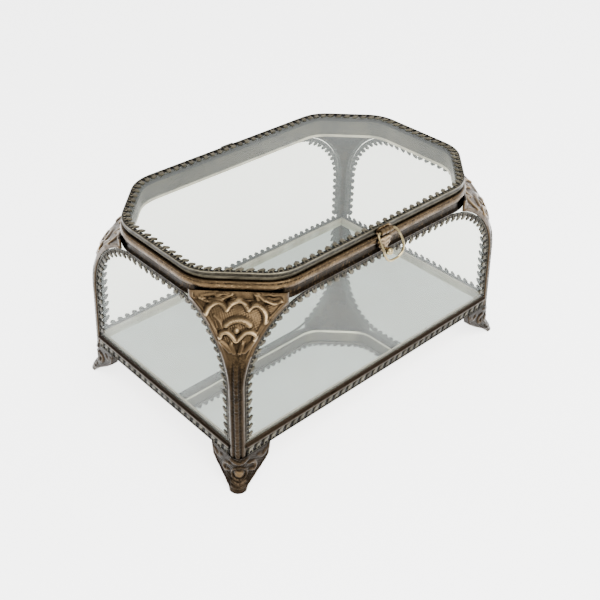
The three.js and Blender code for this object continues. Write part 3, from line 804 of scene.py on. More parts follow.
# Raised strokes on a spandrel: points (across, down the face), half width and height, in mm.
SPANDREL_STROKES = (
    ([(-14.1, 10.2), (-12.8, 6.8), (-10.1, 5.0), (-7.8, 5.6), (-5.5, 8.1)], 1.15, 1.3),
    ([(-5.5, 8.1), (-4.1, 5.8), (-1.5, 4.6), (0.6, 4.5), (2.2, 6.0), (3.7, 8.1)], 1.15, 1.4),
    ([(3.7, 8.1), (5.2, 6.5), (7.2, 6.2), (9.5, 7.9), (11.0, 10.5), (11.3, 13.6)], 1.15, 1.3),
    ([(8.3, 0.8), (9.9, 2.8), (11.8, 4.8), (14.3, 5.8), (18.0, 4.3)], 0.8, 0.95),
    ([(-2.6, 1.3), (-6.1, 3.3), (-10.6, 4.3), (-14.0, 4.4), (-16.2, 3.4)], 0.8, 0.95),
    ([(7.5, 0.0), (8.3, 3.4)], 1.1, 0.9),
    ([(-8.6, 2.6), (-6.0, 0.8), (-3.1, 2.4)], 1.2, 0.8),
    ([(11.2, 0.7), (13.7, 0.0)], 1.2, 0.55),
    ([(14.6, 1.1), (17.5, 0.2)], 1.1, 0.5),
    ([(18.8, 1.4), (21.3, 0.5)], 1.0, 0.45),
    ([(-13.2, 2.3), (-10.6, 1.4)], 1.1, 0.5),
    ([(-16.2, 2.9), (-14.4, 2.2)], 0.9, 0.4),
    ([(-5.2, 14.7), (-3.3, 13.2), (-0.4, 12.5), (2.5, 13.1), (4.8, 14.7)], 1.25, 1.15),
    ([(-7.3, 20.0), (-6.6, 18.2), (-4.6, 17.7), (-2.4, 19.1), (-0.6, 21.1), (1.0, 19.9),
      (3.0, 18.0), (5.4, 17.7), (7.6, 19.1), (7.3, 20.8)], 0.95, 1.3),
    ([(-0.7, 16.9), (-0.6, 17.0)], 1.2, 1.0),
    ([(-7.2, 22.2), (-5.0, 23.7), (-2.8, 25.7)], 0.9, 0.8),
    ([(-2.5, 22.6), (-1.1, 26.4)], 0.8, 0.7),
    ([(2.4, 22.6), (1.4, 26.4)], 0.8, 0.7),
    ([(7.8, 21.3), (5.4, 23.7), (3.1, 26.0)], 0.9, 0.8),
    ([(-10.6, 11.0), (-8.3, 13.1), (-6.8, 16.1)], 0.6, 0.55),
    ([(10.1, 14.5), (8.7, 17.4), (7.7, 20.0)], 0.6, 0.55),
)


def mirrored(strokes):
    """Strokes and their mirror images across the middle line."""
    return strokes + tuple(
        ([(-x, y) for x, y in points], half, rise) for points, half, rise in strokes
    )


# Raised strokes on a foot: points (round from its corner, height), half width and height, in mm.
FOOT_STROKES = mirrored((
    ([(5.0, 13.4), (7.6, 12.6), (8.6, 10.4), (7.4, 8.6), (5.8, 9.4)], 0.7, 0.7),
    ([(11.0, 14.6), (13.0, 13.0), (15.5, 15.0)], 0.8, 0.5),
)) + (
    ([(-0.05, 8.6), (0.05, 8.6)], 1.9, 1.3),
    ([(-3.4, 4.6), (0.0, 3.6), (3.4, 4.6)], 0.55, 0.5),
    ([(-3.2, 2.9), (0.0, 2.1), (3.2, 2.9)], 0.5, 0.45),
    ([(-2.6, 1.3), (0.0, 0.7), (2.6, 1.3)], 0.45, 0.35),
    ([(-4.0, 16.0), (0.0, 14.6), (4.0, 16.0)], 0.8, 0.5),
)
BOSS_HEIGHT, BOSS_RING, BOSS_RING_HALF, BOSS_RING_RISE = 8.6, 3.5, 0.5, 0.55
STROKE_SPREAD, STROKE_ROUND = 1.35, 0.8


def smooth_line(points, steps=6):
    """A rounded line through points."""
    p = np.asarray(points, float)
    if len(p) < 3:
        return p
    padded = np.vstack([2 * p[0] - p[1], p, 2 * p[-1] - p[-2]])
    made = []
    for k in range(1, len(padded) - 2):
        a, b, c, d = padded[k - 1:k + 3]
        for t in np.arange(steps) / steps:
            made.append(0.5 * (
                2 * b + (c - a) * t + (2 * a - 5 * b + 4 * c - d) * t ** 2
                + (3 * b - a - 3 * c + d) * t ** 3
            ))
    made.append(p[-1])
    return np.array(made)


def stroke_height(u, v, strokes):
    """Height of the strokes over arrays of places."""
    height = np.zeros_like(u)
    for points, half, rise in strokes:
        line = smooth_line(points)
        nearest = np.full_like(u, 1e9)
        for a, b in zip(line[:-1], line[1:]):
            d = b - a
            t = np.clip(((u - a[0]) * d[0] + (v - a[1]) * d[1]) / (d @ d), 0, 1)
            nearest = np.minimum(nearest, np.hypot(u - a[0] - d[0] * t, v - a[1] - d[1] * t))
        ratio = np.clip(nearest / (half * STROKE_SPREAD), 0, 1)
        height = np.maximum(height, rise * (1 - ratio ** 2) ** STROKE_ROUND)
    return height


def half_round(distance, half):
    """Share of its height over a rounded ridge, by distance from its middle line."""
    return np.sqrt(np.clip(1 - (distance / half) ** 2, 0, 1))


# How far the hollows' shade is gathered from: stations and millimetres across, rows down.
SHADE_ACROSS, SHADE_REACH, SHADE_ROWS, SHADE_FALL = 12, 1.1, 5, 3.0
GROUND_SHADE, CREST_GAIN, HEIGHT_GAIN, BRIGHTEST = 0.3, 0.6, 0.14, 0.86


def cavity_shade(levels, cell):
    """Painted light from relief: painted highlights on crests above their surroundings, painted shade
    in the hollows.
    """
    across = np.arange(-SHADE_ACROSS, SHADE_ACROSS + 1)
    spread = np.zeros_like(levels)
    for row, (line, step) in enumerate(zip(levels, cell)):
        kernel = np.exp(-(across * step / SHADE_REACH) ** 2)
        padded = np.pad(line, SHADE_ACROSS, mode="edge")
        spread[row] = np.convolve(padded, kernel / kernel.sum(), mode="valid")
    kernel = np.exp(-(np.arange(-SHADE_ROWS, SHADE_ROWS + 1) / SHADE_FALL) ** 2)
    kernel /= kernel.sum()
    padded = np.pad(spread, ((SHADE_ROWS, SHADE_ROWS), (0, 0)), mode="edge")
    spread = sum(k * padded[i:i + len(levels)] for i, k in enumerate(kernel))
    shade = GROUND_SHADE + CREST_GAIN * (levels - spread) + HEIGHT_GAIN * levels
    return np.clip(shade, 0, BRIGHTEST)


def sheet_reach(case, reach, z, inset):
    """How far a corner's sheet spreads along a pane at a height, round its arch."""
    rise = min(1.0, max(0.0, z - case.arch) / (case.rise + inset))
    post = mm(settings("corner").post_reach)
    return post + reach - (reach + inset) * math.sqrt(max(0.0, 1 - rise ** 2))


def sheet_reaches(case, z, inset, limit):
    """How far the sheet spreads along both of its panes, within a limit."""
    c = settings("corner")
    spreads = (sheet_reach(case, mm(r), z, inset) for r in (c.arch_reach_x, c.arch_reach_y))
    return [min(spread, limit) for spread in spreads]


def face_climb(case, bottom, top):
    """Distances down the middle of a corner's face from its top, and their heights."""
    c = settings("corner")
    heights = np.linspace(top, bottom, CLIMB_STATIONS)
    middles = []
    for z in heights:
        a, b = sheet_reaches(case, z, mm(c.flange), mm(c.face_end))
        middles.append((a / 2 + case.leaned(z), b / 2 + case.leaned(z), z))
    steps = np.linalg.norm(np.diff(np.array(middles), axis=0), axis=1)
    return np.concatenate([[0.0], np.cumsum(steps)]), heights


# Stations of a corner's mesh: for measuring the face, across its front and across its back,
# with the step down the face, the rounding of the sheet's edge and the back's inset, in mm.
CLIMB_STATIONS, FACE_COLUMNS, BACK_COLUMNS = 500, 97, 13
FACE_STEP, LIP, BACK_INSET = 0.32, 0.25, 0.4
POST_BULGE = 0.1
# Painted shade: the sheet's rounded lips and its back face are kept dark.
LIP_SHADES, BACK_FACE_SHADE = (0.08, 0.12, 0.2), 0.1
# The stippled ground, where the face is bare; then, by distance down the face in mm, the
# change to the plain post and its dimming; and the raised border along the edges.
STIPPLE_TOP, STIPPLE_FOOT, STIPPLE_EDGE, STIPPLE_RISE, BARE_LIMIT = 6.5, 22, 2.4, 0.3, 0.15
POST_TOP, POST_BLEND = 30.0, 6.0
DIM_TOP, DIM_LENGTH, DIM_SHARE = 22, 14, 0.72
BORDER_PLACE, BORDER_HALF, BORDER_RISE = 1.1, 0.55, 0.45


def spandrel_relief(u, v, width, t):
    """Height of the stamping at places across (u) and down (v) a corner's face: strokes and
    stippled ground on the spandrel, a ridge between grooves on the post."""
    height = stroke_height(u, v, SPANDREL_STROKES)
    edge = np.minimum(t, 1 - t) * width
    bare = (height < BARE_LIMIT) & (edge > STIPPLE_EDGE)
    open_ground = bare & (v > STIPPLE_TOP) & (v < STIPPLE_FOOT)
    stipple = np.maximum(0, np.sin(u * 4.3 + v * 1.7) * np.sin(v * 4.1 - u * 1.9))
    height = height + open_ground * stipple * STIPPLE_RISE
    wide = np.clip((width - 9) / 6, 0, 1)
    border = half_round(edge - BORDER_PLACE, BORDER_HALF)
    height = np.maximum(height, border * BORDER_RISE * wide)
    low = np.clip((v - POST_TOP) / POST_BLEND, 0, 1)
    ridge = half_round(u, 1.0) * 0.5
    groove = -0.4 * np.clip(1 - ((np.abs(u) - 1.55) / 0.6) ** 2, 0, 1)
    veins = 0.25 * np.sin(v * 1.9 + np.abs(u) * 1.6) * np.clip(1 - np.abs(u) / 6, 0, 1)
    beads = 0.09 * np.sin(v * 3.3) * np.sin(v * 0.7 + u) - 0.05
    height = height * (1 - low) + (ridge + groove + beads) * low + veins * low * wide
    top_fade = np.clip((v + 0.2) / 1.2, 0.15, 1)
    return height * top_fade


def in_corner(case, ring, sx, sy, z, lean=0.0):
    """Places a flat ring, given as distances in from two walls, at a corner and a height."""
    place = np.empty((len(ring), 3))
    place[:, 0] = sx * (case.x - ring[:, 0] - lean)
    place[:, 1] = case.middle + sy * (case.y - ring[:, 1] - lean)
    place[:, 2] = z
    return place


class CASKET_OT_corners(bpy.types.Operator):
    """Adds the stamped corner pieces: a ridged post below and a relief spandrel above"""

    bl_idname = "casket.corners"
    bl_label = "Corners"

    def execute(self, context):
        case = Case()
        for name, sx, sy in CORNERS:
            self.corner(case, name, sx, sy)
        return {"FINISHED"}

    def corner(self, case, name, sx, sy):
        node = f"corner_{name}"
        low, high = box_mm(node)
        depths, heights = face_climb(case, low.z, high.z)
        down = np.arange(0, depths[-1], FACE_STEP)
        levels = np.append(np.interp(down, depths, heights), low.z)
        down = np.append(down, depths[-1])
        rows, stamping, widths = [], [], []
        for z, depth in zip(levels, down):
            ring, height, width = self.ring(case, z, depth)
            rows.append(in_corner(case, ring, sx, sy, z, case.leaned(z)))
            stamping.append(height)
            widths.append(width)
        shade = cavity_shade(np.array(stamping), np.array(widths) / FACE_COLUMNS)
        dim = np.clip((down - DIM_TOP) / DIM_LENGTH, 0, 1)
        shade = shade * (1 - DIM_SHARE * dim)[:, None]
        lips = np.tile(LIP_SHADES, (len(rows), 1))
        inside = np.full((len(rows), BACK_COLUMNS), BACK_FACE_SHADE)
        maker = Maker(f"stamped_{node}", ["bronze"])
        maker.rows(rows, np.hstack([lips, shade, lips[:, ::-1], inside]))
        maker.build("case", [node], 50.0)

    def ring(self, case, z, depth):
        """A corner's outline at a height, as distances in from its two walls, with the height
        of the stamping across its face and the face's width."""
        c = settings("corner")
        end, proud = mm(c.face_end), mm(c.proud)
        edge_a, edge_b = sheet_reaches(case, z, 0, end + mm(c.flange))
        a, b = sheet_reaches(case, z, mm(c.flange), end)
        start, stop = np.array([a, -proud]), np.array([-proud, b])
        chord = stop - start
        width = np.linalg.norm(chord)
        out = np.array([-chord[1], chord[0]]) / width
        rise = min(1.0, max(0.0, z - case.arch) / case.rise)
        bulge = POST_BULGE * width * (1 - rise ** 2)
        t = np.linspace(0, 1, FACE_COLUMNS)
        height = spandrel_relief((0.5 - t) * width, np.full_like(t, depth), width, t)
        height = height * np.clip(np.minimum(t, 1 - t) * width, 0, 1)
        outer = start + np.outer(t, chord) + np.outer(4 * bulge * t * (1 - t) + height, out)
        t = np.linspace(1, 0, BACK_COLUMNS)
        inner = start + np.outer(t, chord)
        inner = inner + np.outer(4 * bulge * t * (1 - t) - mm(c.sheet), out)
        inner[0] = (-LIP, b + BACK_INSET)
        inner[-1] = (a + BACK_INSET, -LIP)
        ring = np.vstack([
            [[edge_a, -LIP], [edge_a, LIP - proud], [edge_a - LIP, -proud]], outer,
            [[-proud, edge_b - LIP], [LIP - proud, edge_b], [-LIP, edge_b]], inner,
        ])
        return ring, height, width


CORNERS = (
    ("front_left", -1, -1), ("front_right", 1, -1), ("back_right", 1, 1), ("back_left", -1, 1),
)


# ---- Feet --------------------------------------------------------------------------

# Levels of a foot: share of the height, wing share, proud, corner radius and wall.
FOOT_LEVELS = (
    (0.0, 0.05, 4.6, 4.4, 4.4), (0.14, 0.15, 3.9, 5.4, 4.3), (0.29, 0.4, 3.0, 8.0, 4.0),
    (0.47, 0.68, 2.3, 9.0, 3.6), (0.66, 0.92, 1.8, 6.0, 3.4), (1.0, 1.0, 1.4, 5.0, 3.2),
)


# Stations of a foot: levels, round its corner and along a wing outside, and the same inside.
FOOT_ROWS, FOOT_ARC, FOOT_STRAIGHT, INNER_ARC, INNER_STRAIGHT = 58, 36, 18, 8, 3
# The casting is flat on the sole, nearly flat on the toe, and sunk a little all over.
SOLE_SHARE, TOE_SHARE, TOE_RELIEF, CASTING_INSET = 0.05, 0.12, 0.05, 0.05
WING_BORDER, WING_BORDER_HALF, WING_BORDER_RISE = 0.8, 0.6, 0.45
LEAST_RADIUS = 0.6
# Painted light on the casting: brighter with the height of its relief, painted shade inside.
FOOT_GROUND_SHADE, FOOT_HEIGHT_GAIN, FOOT_INSIDE_SHADE = 0.06, 0.8, 0.1


def foot_contour(wing_a, wing_b, out, radius, arc, straight):
    """From the end of one wing, round the corner, to the end of the other."""
    points = []
    for k in range(straight):
        a = wing_a + (radius - out - wing_a) * k / straight
        points.append((a, -out))
    for k in range(arc + 1):
        angle = -RIGHT_ANGLE - RIGHT_ANGLE * k / arc
        points.append((
            radius - out + radius * math.cos(angle), radius - out + radius * math.sin(angle),
        ))
    for k in range(straight):
        b = radius - out + (wing_b - radius + out) * (k + 1) / straight
        points.append((-out, b))
    return np.array(points)


def foot_relief(line, z):
    """Height of the casting along a foot's outline at a height above the table."""
    gaps = np.linalg.norm(np.diff(line, axis=0), axis=1)
    along = np.concatenate([[0], np.cumsum(gaps)])
    u = along[-1] / 2 - along
    v = np.full_like(u, z)
    height = stroke_height(u, v, FOOT_STROKES)
    boss = half_round(np.hypot(u, v - BOSS_HEIGHT) - BOSS_RING, BOSS_RING_HALF)
    height = np.maximum(height, BOSS_RING_RISE * boss)
    edge = np.minimum(along, along[-1] - along)
    border = WING_BORDER_RISE * half_round(edge - WING_BORDER, WING_BORDER_HALF)
    grain = 0.12 * np.sin(u * 3.1 + v) * np.sin(v * 3.7 - u)
    return np.maximum(height, border) + grain


def outward(line):
    """Outward directions along a foot's outline."""
    ways = np.gradient(line, axis=0)
    ways /= np.linalg.norm(ways, axis=1)[:, None] + 1e-9
    normals = np.stack([ways[:, 1], -ways[:, 0]], 1)
    return -normals if normals[0][1] > 0 else normals


class CASKET_OT_feet(bpy.types.Operator):
    """Adds the cast feet with their boss, scrolls and ridged toe"""

    bl_idname = "casket.feet"
    bl_label = "Feet"

    def execute(self, context):
        case = Case()
        for name, sx, sy in CORNERS:
            self.foot(case, name, sx, sy)
        return {"FINISHED"}

    def foot(self, case, name, sx, sy):
        node = f"foot_{name}"
        low, high = box_mm(node)
        toe_proud = FOOT_LEVELS[0][2]
        wing_x, wing_y = high.x - low.x - toe_proud, high.y - low.y - toe_proud
        table = np.array(FOOT_LEVELS)
        rows, shades = [], []
        for share in np.linspace(0, 1, FOOT_ROWS):
            wing, proud, radius, wall = (
                float(np.interp(share, table[:, 0], table[:, k])) for k in range(1, 5)
            )
            wings = wing * wing_x, wing * wing_y
            z = low.z + share * (high.z - low.z)
            outer = foot_contour(*wings, proud, radius, FOOT_ARC, FOOT_STRAIGHT)
            relief = foot_relief(outer, z)
            strength = TOE_RELIEF if share < TOE_SHARE else 1.0
            strength *= np.clip(toe_proud - proud, 0, 1) if share > SOLE_SHARE else 0.0
            shell = outer + outward(outer) * (relief * strength - CASTING_INSET)[:, None]
            inner_radius = max(radius - wall, LEAST_RADIUS)
            inner = foot_contour(*wings, proud - wall, inner_radius, INNER_ARC, INNER_STRAIGHT)
            rows.append(in_corner(case, np.vstack([shell, inner[::-1]]), sx, sy, z))
            shade = FOOT_GROUND_SHADE + FOOT_HEIGHT_GAIN * relief
            shade = np.concatenate([shade, np.full(len(inner), FOOT_INSIDE_SHADE)])
            shades.append(np.clip(shade, 0, 1))
        maker = Maker(f"cast_{node}", ["foot_bronze"])
        maker.rows(rows, shades)
        maker.build("case", [node], 50.0)


# ---- Rim and lid -------------------------------------------------------------------


RIM_CHAMFER, RIM_RADIUS = 27.0, 20.0
CHAMFER_GROWTH = 2 - math.sqrt(2)
TURN_STEPS = 6


def octagon(node, offset, chamfer=RIM_CHAMFER, radius=RIM_RADIUS):
    """Outline of a chamfered ring: the node's own plan grown by offset, in millimetres."""
    low, high = box_mm(node)
    hx, hy = (high.x - low.x) / 2 + offset, (high.y - low.y) / 2 + offset
    cy = (high.y + low.y) / 2
    ch = chamfer + offset * CHAMFER_GROWTH
    r = radius + offset
    tips = [(hx, -hy + ch), (hx, hy - ch), (hx - ch, hy), (-hx + ch, hy),
            (-hx, hy - ch), (-hx, -hy + ch), (-hx + ch, -hy), (hx - ch, -hy)]
    tips = [np.array(t) for t in tips]
    points = []
    for i, tip in enumerate(tips):
        way = unit(tip - tips[i - 1])
        start = tip - way * r * math.tan(math.pi / 8)
        centre = start + np.array([-way[1], way[0]]) * r
        for k in range(TURN_STEPS + 1):
            turn = math.pi / 4 * k / TURN_STEPS
            d = start - centre
            points.append(centre + np.array([
                d[0] * math.cos(turn) - d[1] * math.sin(turn),
                d[0] * math.sin(turn) + d[1] * math.cos(turn),
            ]))
    return np.array([(x, y + cy) for x, y in points])


def ring_rows(outline, section, step, wave=None):
    """Even stations round an outline, each a section of (offset, height) pairs."""
    line = np.hstack([outline, np.zeros((len(outline), 1))])
    places, ways = resample(line, step, True)
    normals = np.stack([ways[:, 1], -ways[:, 0], 0 * ways[:, 0]], 1)
    rows = []
    for k, (place, normal) in enumerate(zip(places, normals)):
        ring = []
        for m, (out, z) in enumerate(section):
            extra = wave(k, m) if wave else 0.0
            ring.append(place + normal * (out + extra) + np.array([0, 0, z]))
        rows.append(ring)
    return rows


# The rim in mm: a half-round moulding stands proud over a recessed wall with a lip below.
MOULDING_PROUD, RIM_WALL, RIM_RECESS = 1.3, 3.4, 3.9
RECESS_SECTION = (
    (-RIM_WALL, 1.3), (-RIM_WALL, -0.2), (0.72, -0.2), (0.8, -0.54), (1.3, -0.5),
    (1.4, 0.0), (0.9, 0.3), (0.2, 0.7), (0.0, 1.2), (0.0, 3.0),
)
# Painted shade in the recess under the moulding, darkest on the recessed wall.
RECESS_SHADES = (0.1, 0.1, 0.02, 0.05, 0.1, 0.08, 0.02, 0.02, 0.02, 0.02)
# The moulding: stations, those that are milled, and the groove scored above them.
MOULDING_STEPS, MILLED_STEPS = 18, range(3, 12)
GROOVE_STEP, GROOVE_HALF, GROOVE_DEPTH = 12.5, 0.8, 0.22
MILL_STEP, MILL_DEPTH, MILL_SCATTER, TARNISH_SCATTER = 0.5, 0.1, 0.12, 0.1
# Painted light on the moulding: a painted highlight along its crown, lighter above the groove,
# painted shade in the groove.
CROWN_SHADE, CROWN_GAIN, ABOVE_GROOVE_GAIN, TOP_SHADE = 0.12, 0.3, 0.22, 0.3


class CASKET_OT_rim(bpy.types.Operator):
    """Adds the case rim with its milled half-round moulding"""

    bl_idname = "casket.rim"
    bl_label = "Rim"

    def execute(self, context):
        low, high = box_mm("body_rim")
        section, shades = self.section(low.z, high.z)
        milled = range(len(RECESS_SECTION) + MILLED_STEPS.start,
                       len(RECESS_SECTION) + MILLED_STEPS.stop)
        slots = [2] + [0] * (len(section) - 2) + [1]
        rng = np.random.default_rng(4)

        def wave(k, m):
            if m not in milled:
                return 0.0
            ripple = MILL_DEPTH * (0.5 + 0.5 * math.sin(k * 2.4 + m * 0.9))
            return -ripple - rng.uniform(0.0, MILL_SCATTER)

        chamfer = RIM_CHAMFER + MOULDING_PROUD * CHAMFER_GROWTH
        outline = octagon("body_rim", -MOULDING_PROUD, chamfer, RIM_RADIUS + MOULDING_PROUD)
        rows = ring_rows(outline, section, MILL_STEP, wave)
        scatter = rng.normal(0, TARNISH_SCATTER, (len(rows), len(shades)))
        maker = Maker("milled_rim", ["rim_metal", "inside_metal", "pale_metal"])
        maker.rows(rows, np.clip(np.tile(shades, (len(rows), 1)) + scatter, 0, 1), slots, True)
        maker.build("case", ["body_rim"], 60.0)
        return {"FINISHED"}

    def section(self, bottom, top):
        """The rim's section as (out, height) pairs, and their painted shades."""
        section = [(out, bottom + rise) for out, rise in RECESS_SECTION]
        shades = list(RECESS_SHADES)
        middle = (bottom + RIM_RECESS + top) / 2
        half = (top - bottom - RIM_RECESS) / 2
        for k in range(MOULDING_STEPS + 1):
            angle = -RIGHT_ANGLE + math.pi * k / MOULDING_STEPS
            groove = GROOVE_DEPTH * math.exp(-((k - GROOVE_STEP) / GROOVE_HALF) ** 2)
            out = max(MOULDING_PROUD * math.cos(angle) - groove, 0.0)
            section.append((out, middle + half * math.sin(angle)))
            crown = CROWN_GAIN * math.cos(angle) ** 2 + ABOVE_GROOVE_GAIN * (k > GROOVE_STEP + 0.5)
            shades.append(CROWN_SHADE + crown - groove)
        return section + [(-RIM_WALL, top)], shades + [TOP_SHADE]


# The lid's band in mm: the part of its skirt at its foot and the part at its top.
SKIRT_FOOT = ((-0.5, 0.0), (0.0, 0.0), (0.0, 0.35), (-0.1, 0.55))
SKIRT_TOP = ((-0.1, -0.8), (0.0, -0.6), (0.0, -0.3), (-0.25, -0.1), (-0.6, -0.3))
SKIRT_HEEL = (-0.6, 0.3)
# Painted light across the skirt: brightest on its outer face near the top, darker at its folds and
# inside.
SKIRT_SHADES = (0.1, 0.2, 0.6, 0.12, 0.2, 0.55, 0.8, 0.6, 0.2, 0.1)
SKIRT_STEP, SKIRT_SCATTER = 1.1, 0.05
# The lid's leaves: inset, drop, and a lift of painted light for leaves that face up to the light.
LID_LEAF_INSET, LID_LEAF_DROP, LID_LEAF_PAINTED_LIGHT = 0.12, 0.56, 0.22


class CASKET_OT_lid_edging(bpy.types.Operator):
    """Adds the lid's folded band with its eyelets and leaves over the glass"""

    bl_idname = "casket.lid_edging"
    bl_label = "Lid edging"

    def execute(self, context):
        low, high = box_mm("lid_gallery")
        maker = Maker("lid_edging", ["leaf_metal"])
        root = octagon("lid_gallery", -LID_LEAF_INSET)
        path = np.hstack([root, np.full((len(root), 1), high.z - LID_LEAF_DROP)])
        upward = np.array([0.0, 0.0, 1.0])
        add_leaves(maker, leaf_template(), path, upward, 1, True, None, LID_LEAF_PAINTED_LIGHT)
        skirt = [(out, low.z + rise) for out, rise in SKIRT_FOOT]
        skirt += [(out, high.z + rise) for out, rise in SKIRT_TOP]
        skirt.append((SKIRT_HEEL[0], low.z + SKIRT_HEEL[1]))
        rows = ring_rows(octagon("lid_gallery", 0.0), skirt, SKIRT_STEP)
        rng = np.random.default_rng(9)
        scatter = rng.normal(0, SKIRT_SCATTER, (len(rows), len(SKIRT_SHADES)))
        shades = np.tile(SKIRT_SHADES, (len(rows), 1)) + scatter
        maker.rows(rows, np.clip(shades, 0, 1), 0, True)
        maker.build("lid", ["lid_gallery"])
        return {"FINISHED"}


# ---- Clasp -------------------------------------------------------------------------

# Raised strokes on the clasp: points from the plate's middle, half width and height, in mm.
TAB_STROKES = mirrored((
    ([(4.2, 1.2), (2.4, 1.6), (1.2, 0.6)], 0.9, 0.55),
    ([(4.0, -0.6), (2.6, -1.2), (1.0, -0.8)], 0.8, 0.45),
)) + (
    ([(0.0, 1.5), (0.0, 0.2)], 0.8, 0.6),
)
CATCH_STROKES = mirrored((
    ([(0.6, 2.4), (2.4, 3.2), (4.0, 2.2)], 0.8, 0.45),
    ([(0.6, 0.4), (2.4, 1.0), (3.6, -0.4)], 0.8, 0.4),
    ([(0.5, -1.6), (1.8, -1.2), (2.6, -2.6)], 0.7, 0.4),
)) + (
    ([(0.0, 3.6), (0.0, -3.4)], 0.6, 0.4),
)
# Outlines of the plates: share of the height, share of the half width.
TAB_OUTLINE = ((0.0, 0.62), (0.15, 0.85), (0.4, 1.0), (0.7, 0.96), (0.88, 0.82), (1.0, 0.5))
CATCH_OUTLINE = (
    (0.0, 0.18), (0.08, 0.42), (0.2, 0.5), (0.28, 0.44), (0.38, 0.72), (0.5, 0.82),
    (0.58, 0.7), (0.68, 0.95), (0.8, 1.0), (0.9, 0.85), (0.96, 0.5), (1.0, 0.25),
)
PLATE_ROWS, PLATE_COLUMNS, HIGHEST_STROKE = 33, 25, 0.6
# Painted light on the plates: painted highlights on the raised strokes, painted shade on the rear.
PLATE_SHADE, PLATE_REAR_SHADE = 0.25, 0.1
TAB_PLATE, TAB_RISE, CATCH_RISE = 0.8, 0.3, 0.35
# The tab's knuckles: where each starts and stops, with rounded ends and a swollen middle.
KNUCKLES = ((-3.7, -1.35), (-1.15, 1.15), (1.35, 3.7))
KNUCKLE_AROUND, KNUCKLE_INSET, KNUCKLE_SWELL = 24, 0.2, 1.04
KNUCKLE_END, KNUCKLE_SHRINK, BARREL_MARGIN, KNUCKLE_SHADE = 0.86, 0.95, 0.15, 0.5


def cast_plate(maker, low, high, outline, strokes, rise):
    """An upright plate facing -Y: outline gives its half width by height share."""
    rows, shades = [], []
    half = (high.x - low.x) / 2
    cx = (high.x + low.x) / 2
    cz = (high.z + low.z) / 2
    heights = np.array([p[0] for p in outline])
    widths = np.array([p[1] for p in outline])
    across = np.linspace(-1, 1, PLATE_COLUMNS)
    for share in np.linspace(0, 1, PLATE_ROWS):
        width = half * float(np.interp(share, heights, widths))
        z = low.z + share * (high.z - low.z)
        u = across * width
        height = stroke_height(u, np.full_like(u, z - cz), strokes)
        edge = np.clip(np.minimum(1 - np.abs(across), min(share, 1 - share) * 3 + 0.05) * 4, 0, 1)
        sink = 1 - np.minimum(height, HIGHEST_STROKE) / HIGHEST_STROKE * edge
        front = [(cx + a, low.y + rise * depth, z) for a, depth in zip(u, sink)]
        rear = [(cx + u[-1], high.y, z), (cx + u[0], high.y, z)]
        rows.append(front + rear)
        shades.append([*(PLATE_SHADE + height * edge), PLATE_REAR_SHADE, PLATE_REAR_SHADE])
    maker.rows(rows, np.clip(shades, 0, 1))


class CASKET_OT_clasp(bpy.types.Operator):
    """Adds the cast faces of the clasp's tab and of its catch plate"""

    bl_idname = "casket.clasp"
    bl_label = "Clasp"

    def execute(self, context):
        self.tab()
        low, high = box_mm("catch_plate")
        catch = Maker("cast_catch_plate", ["bronze"])
        cast_plate(catch, low, high, CATCH_OUTLINE, CATCH_STROKES, CATCH_RISE)
        catch.build("case", ["catch_plate"])
        return {"FINISHED"}

    def tab(self):
        """The tab's cast face and the three knuckles that the loop turns in."""
        low, high = box_mm("clasp_tab")
        tab = Maker("cast_clasp_tab", ["bronze"])
        face_low = Vector((low.x, high.y - TAB_PLATE, low.z))
        cast_plate(tab, face_low, high, TAB_OUTLINE, TAB_STROKES, TAB_RISE)
        barrel = (face_low.y - low.y) / 2 + BARREL_MARGIN
        axis_y, axis_z = low.y + barrel, (low.z + high.z) / 2
        turns = np.linspace(0, 2 * math.pi, KNUCKLE_AROUND, endpoint=False)
        for start, stop in KNUCKLES:
            stations = (
                (start, KNUCKLE_END), (start + KNUCKLE_INSET, 1.0),
                ((start + stop) / 2, KNUCKLE_SWELL),
                (stop - KNUCKLE_INSET, 1.0), (stop, KNUCKLE_END),
            )
            rows = []
            for x, share in stations:
                radius = barrel * KNUCKLE_SHRINK * share
                rows.append([(x, axis_y + radius * math.cos(a), axis_z + radius * math.sin(a))
                             for a in turns])
            tab.rows(rows, np.full((len(rows), KNUCKLE_AROUND), KNUCKLE_SHADE))
        tab.build("lid", ["clasp_tab"])


# ---- Finishes of the carried-over CAD nodes ---------------------------------------


ROUNDED_NODES = ("clasp_loop", "catch_knob", "hinge_pin", "lid_frame")


def node_finish(name):
    """The finish of a CAD node that the scene keeps."""
    if name.startswith("pane_stop"):
        return "pale_metal"
    if name.startswith("pane_") or name == "lid_glass":
        return "clear_glass"
    if name.startswith("rail_"):
        return "rail_metal"
    return {
        "floor_mirror": "mirror_glass",
        "base_plate": "backing",
        "lid_frame": "inside_metal",
        "clasp_loop": "wire_metal",
        "catch_knob": "wire_metal",
        "hinge_pin": "wire_metal",
    }.get(name, "rail_metal")


class CASKET_OT_finishes(bpy.types.Operator):
    """Gives every carried-over CAD node its finish, and smooth shading to the rounded ones"""

    bl_idname = "casket.finishes"
    bl_label = "Finishes"

    def execute(self, context):
        for name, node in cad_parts.items():
            node.data.materials.clear()
            node.data.materials.append(material(node_finish(name)))
            if name in ROUNDED_NODES:
                node.data.polygons.foreach_set("use_smooth", [True] * len(node.data.polygons))
        return {"FINISHED"}


# ---- Stage -------------------------------------------------------------------------

# The camera: its place in millimetres, its right and its up.
CAMERA_PLACE = (-266.4, -281.5, 311.6)
CAMERA_RIGHT = (0.7337, -0.6793, 0.0159)
CAMERA_UP = (0.3884, 0.4385, 0.8105)
SENSOR_MM, CLIP_START = 36.0, 0.01
# Lights and floor, in metres: size and place of a light, radius and height of a floor ring.
KEY_LIGHT = (0.7, (-0.15, -0.5, 0.75))
FILL_LIGHT = (0.9, (0.75, -0.15, 0.5))
LIGHT_AIM = Vector((0, 0, 0.05))
FLOOR_RINGS = ((0.4, 0.0), (1.2, 0.0), (2.2, 0.0), (3.0, 0.06), (3.6, 0.3))
FLOOR_AROUND = 64


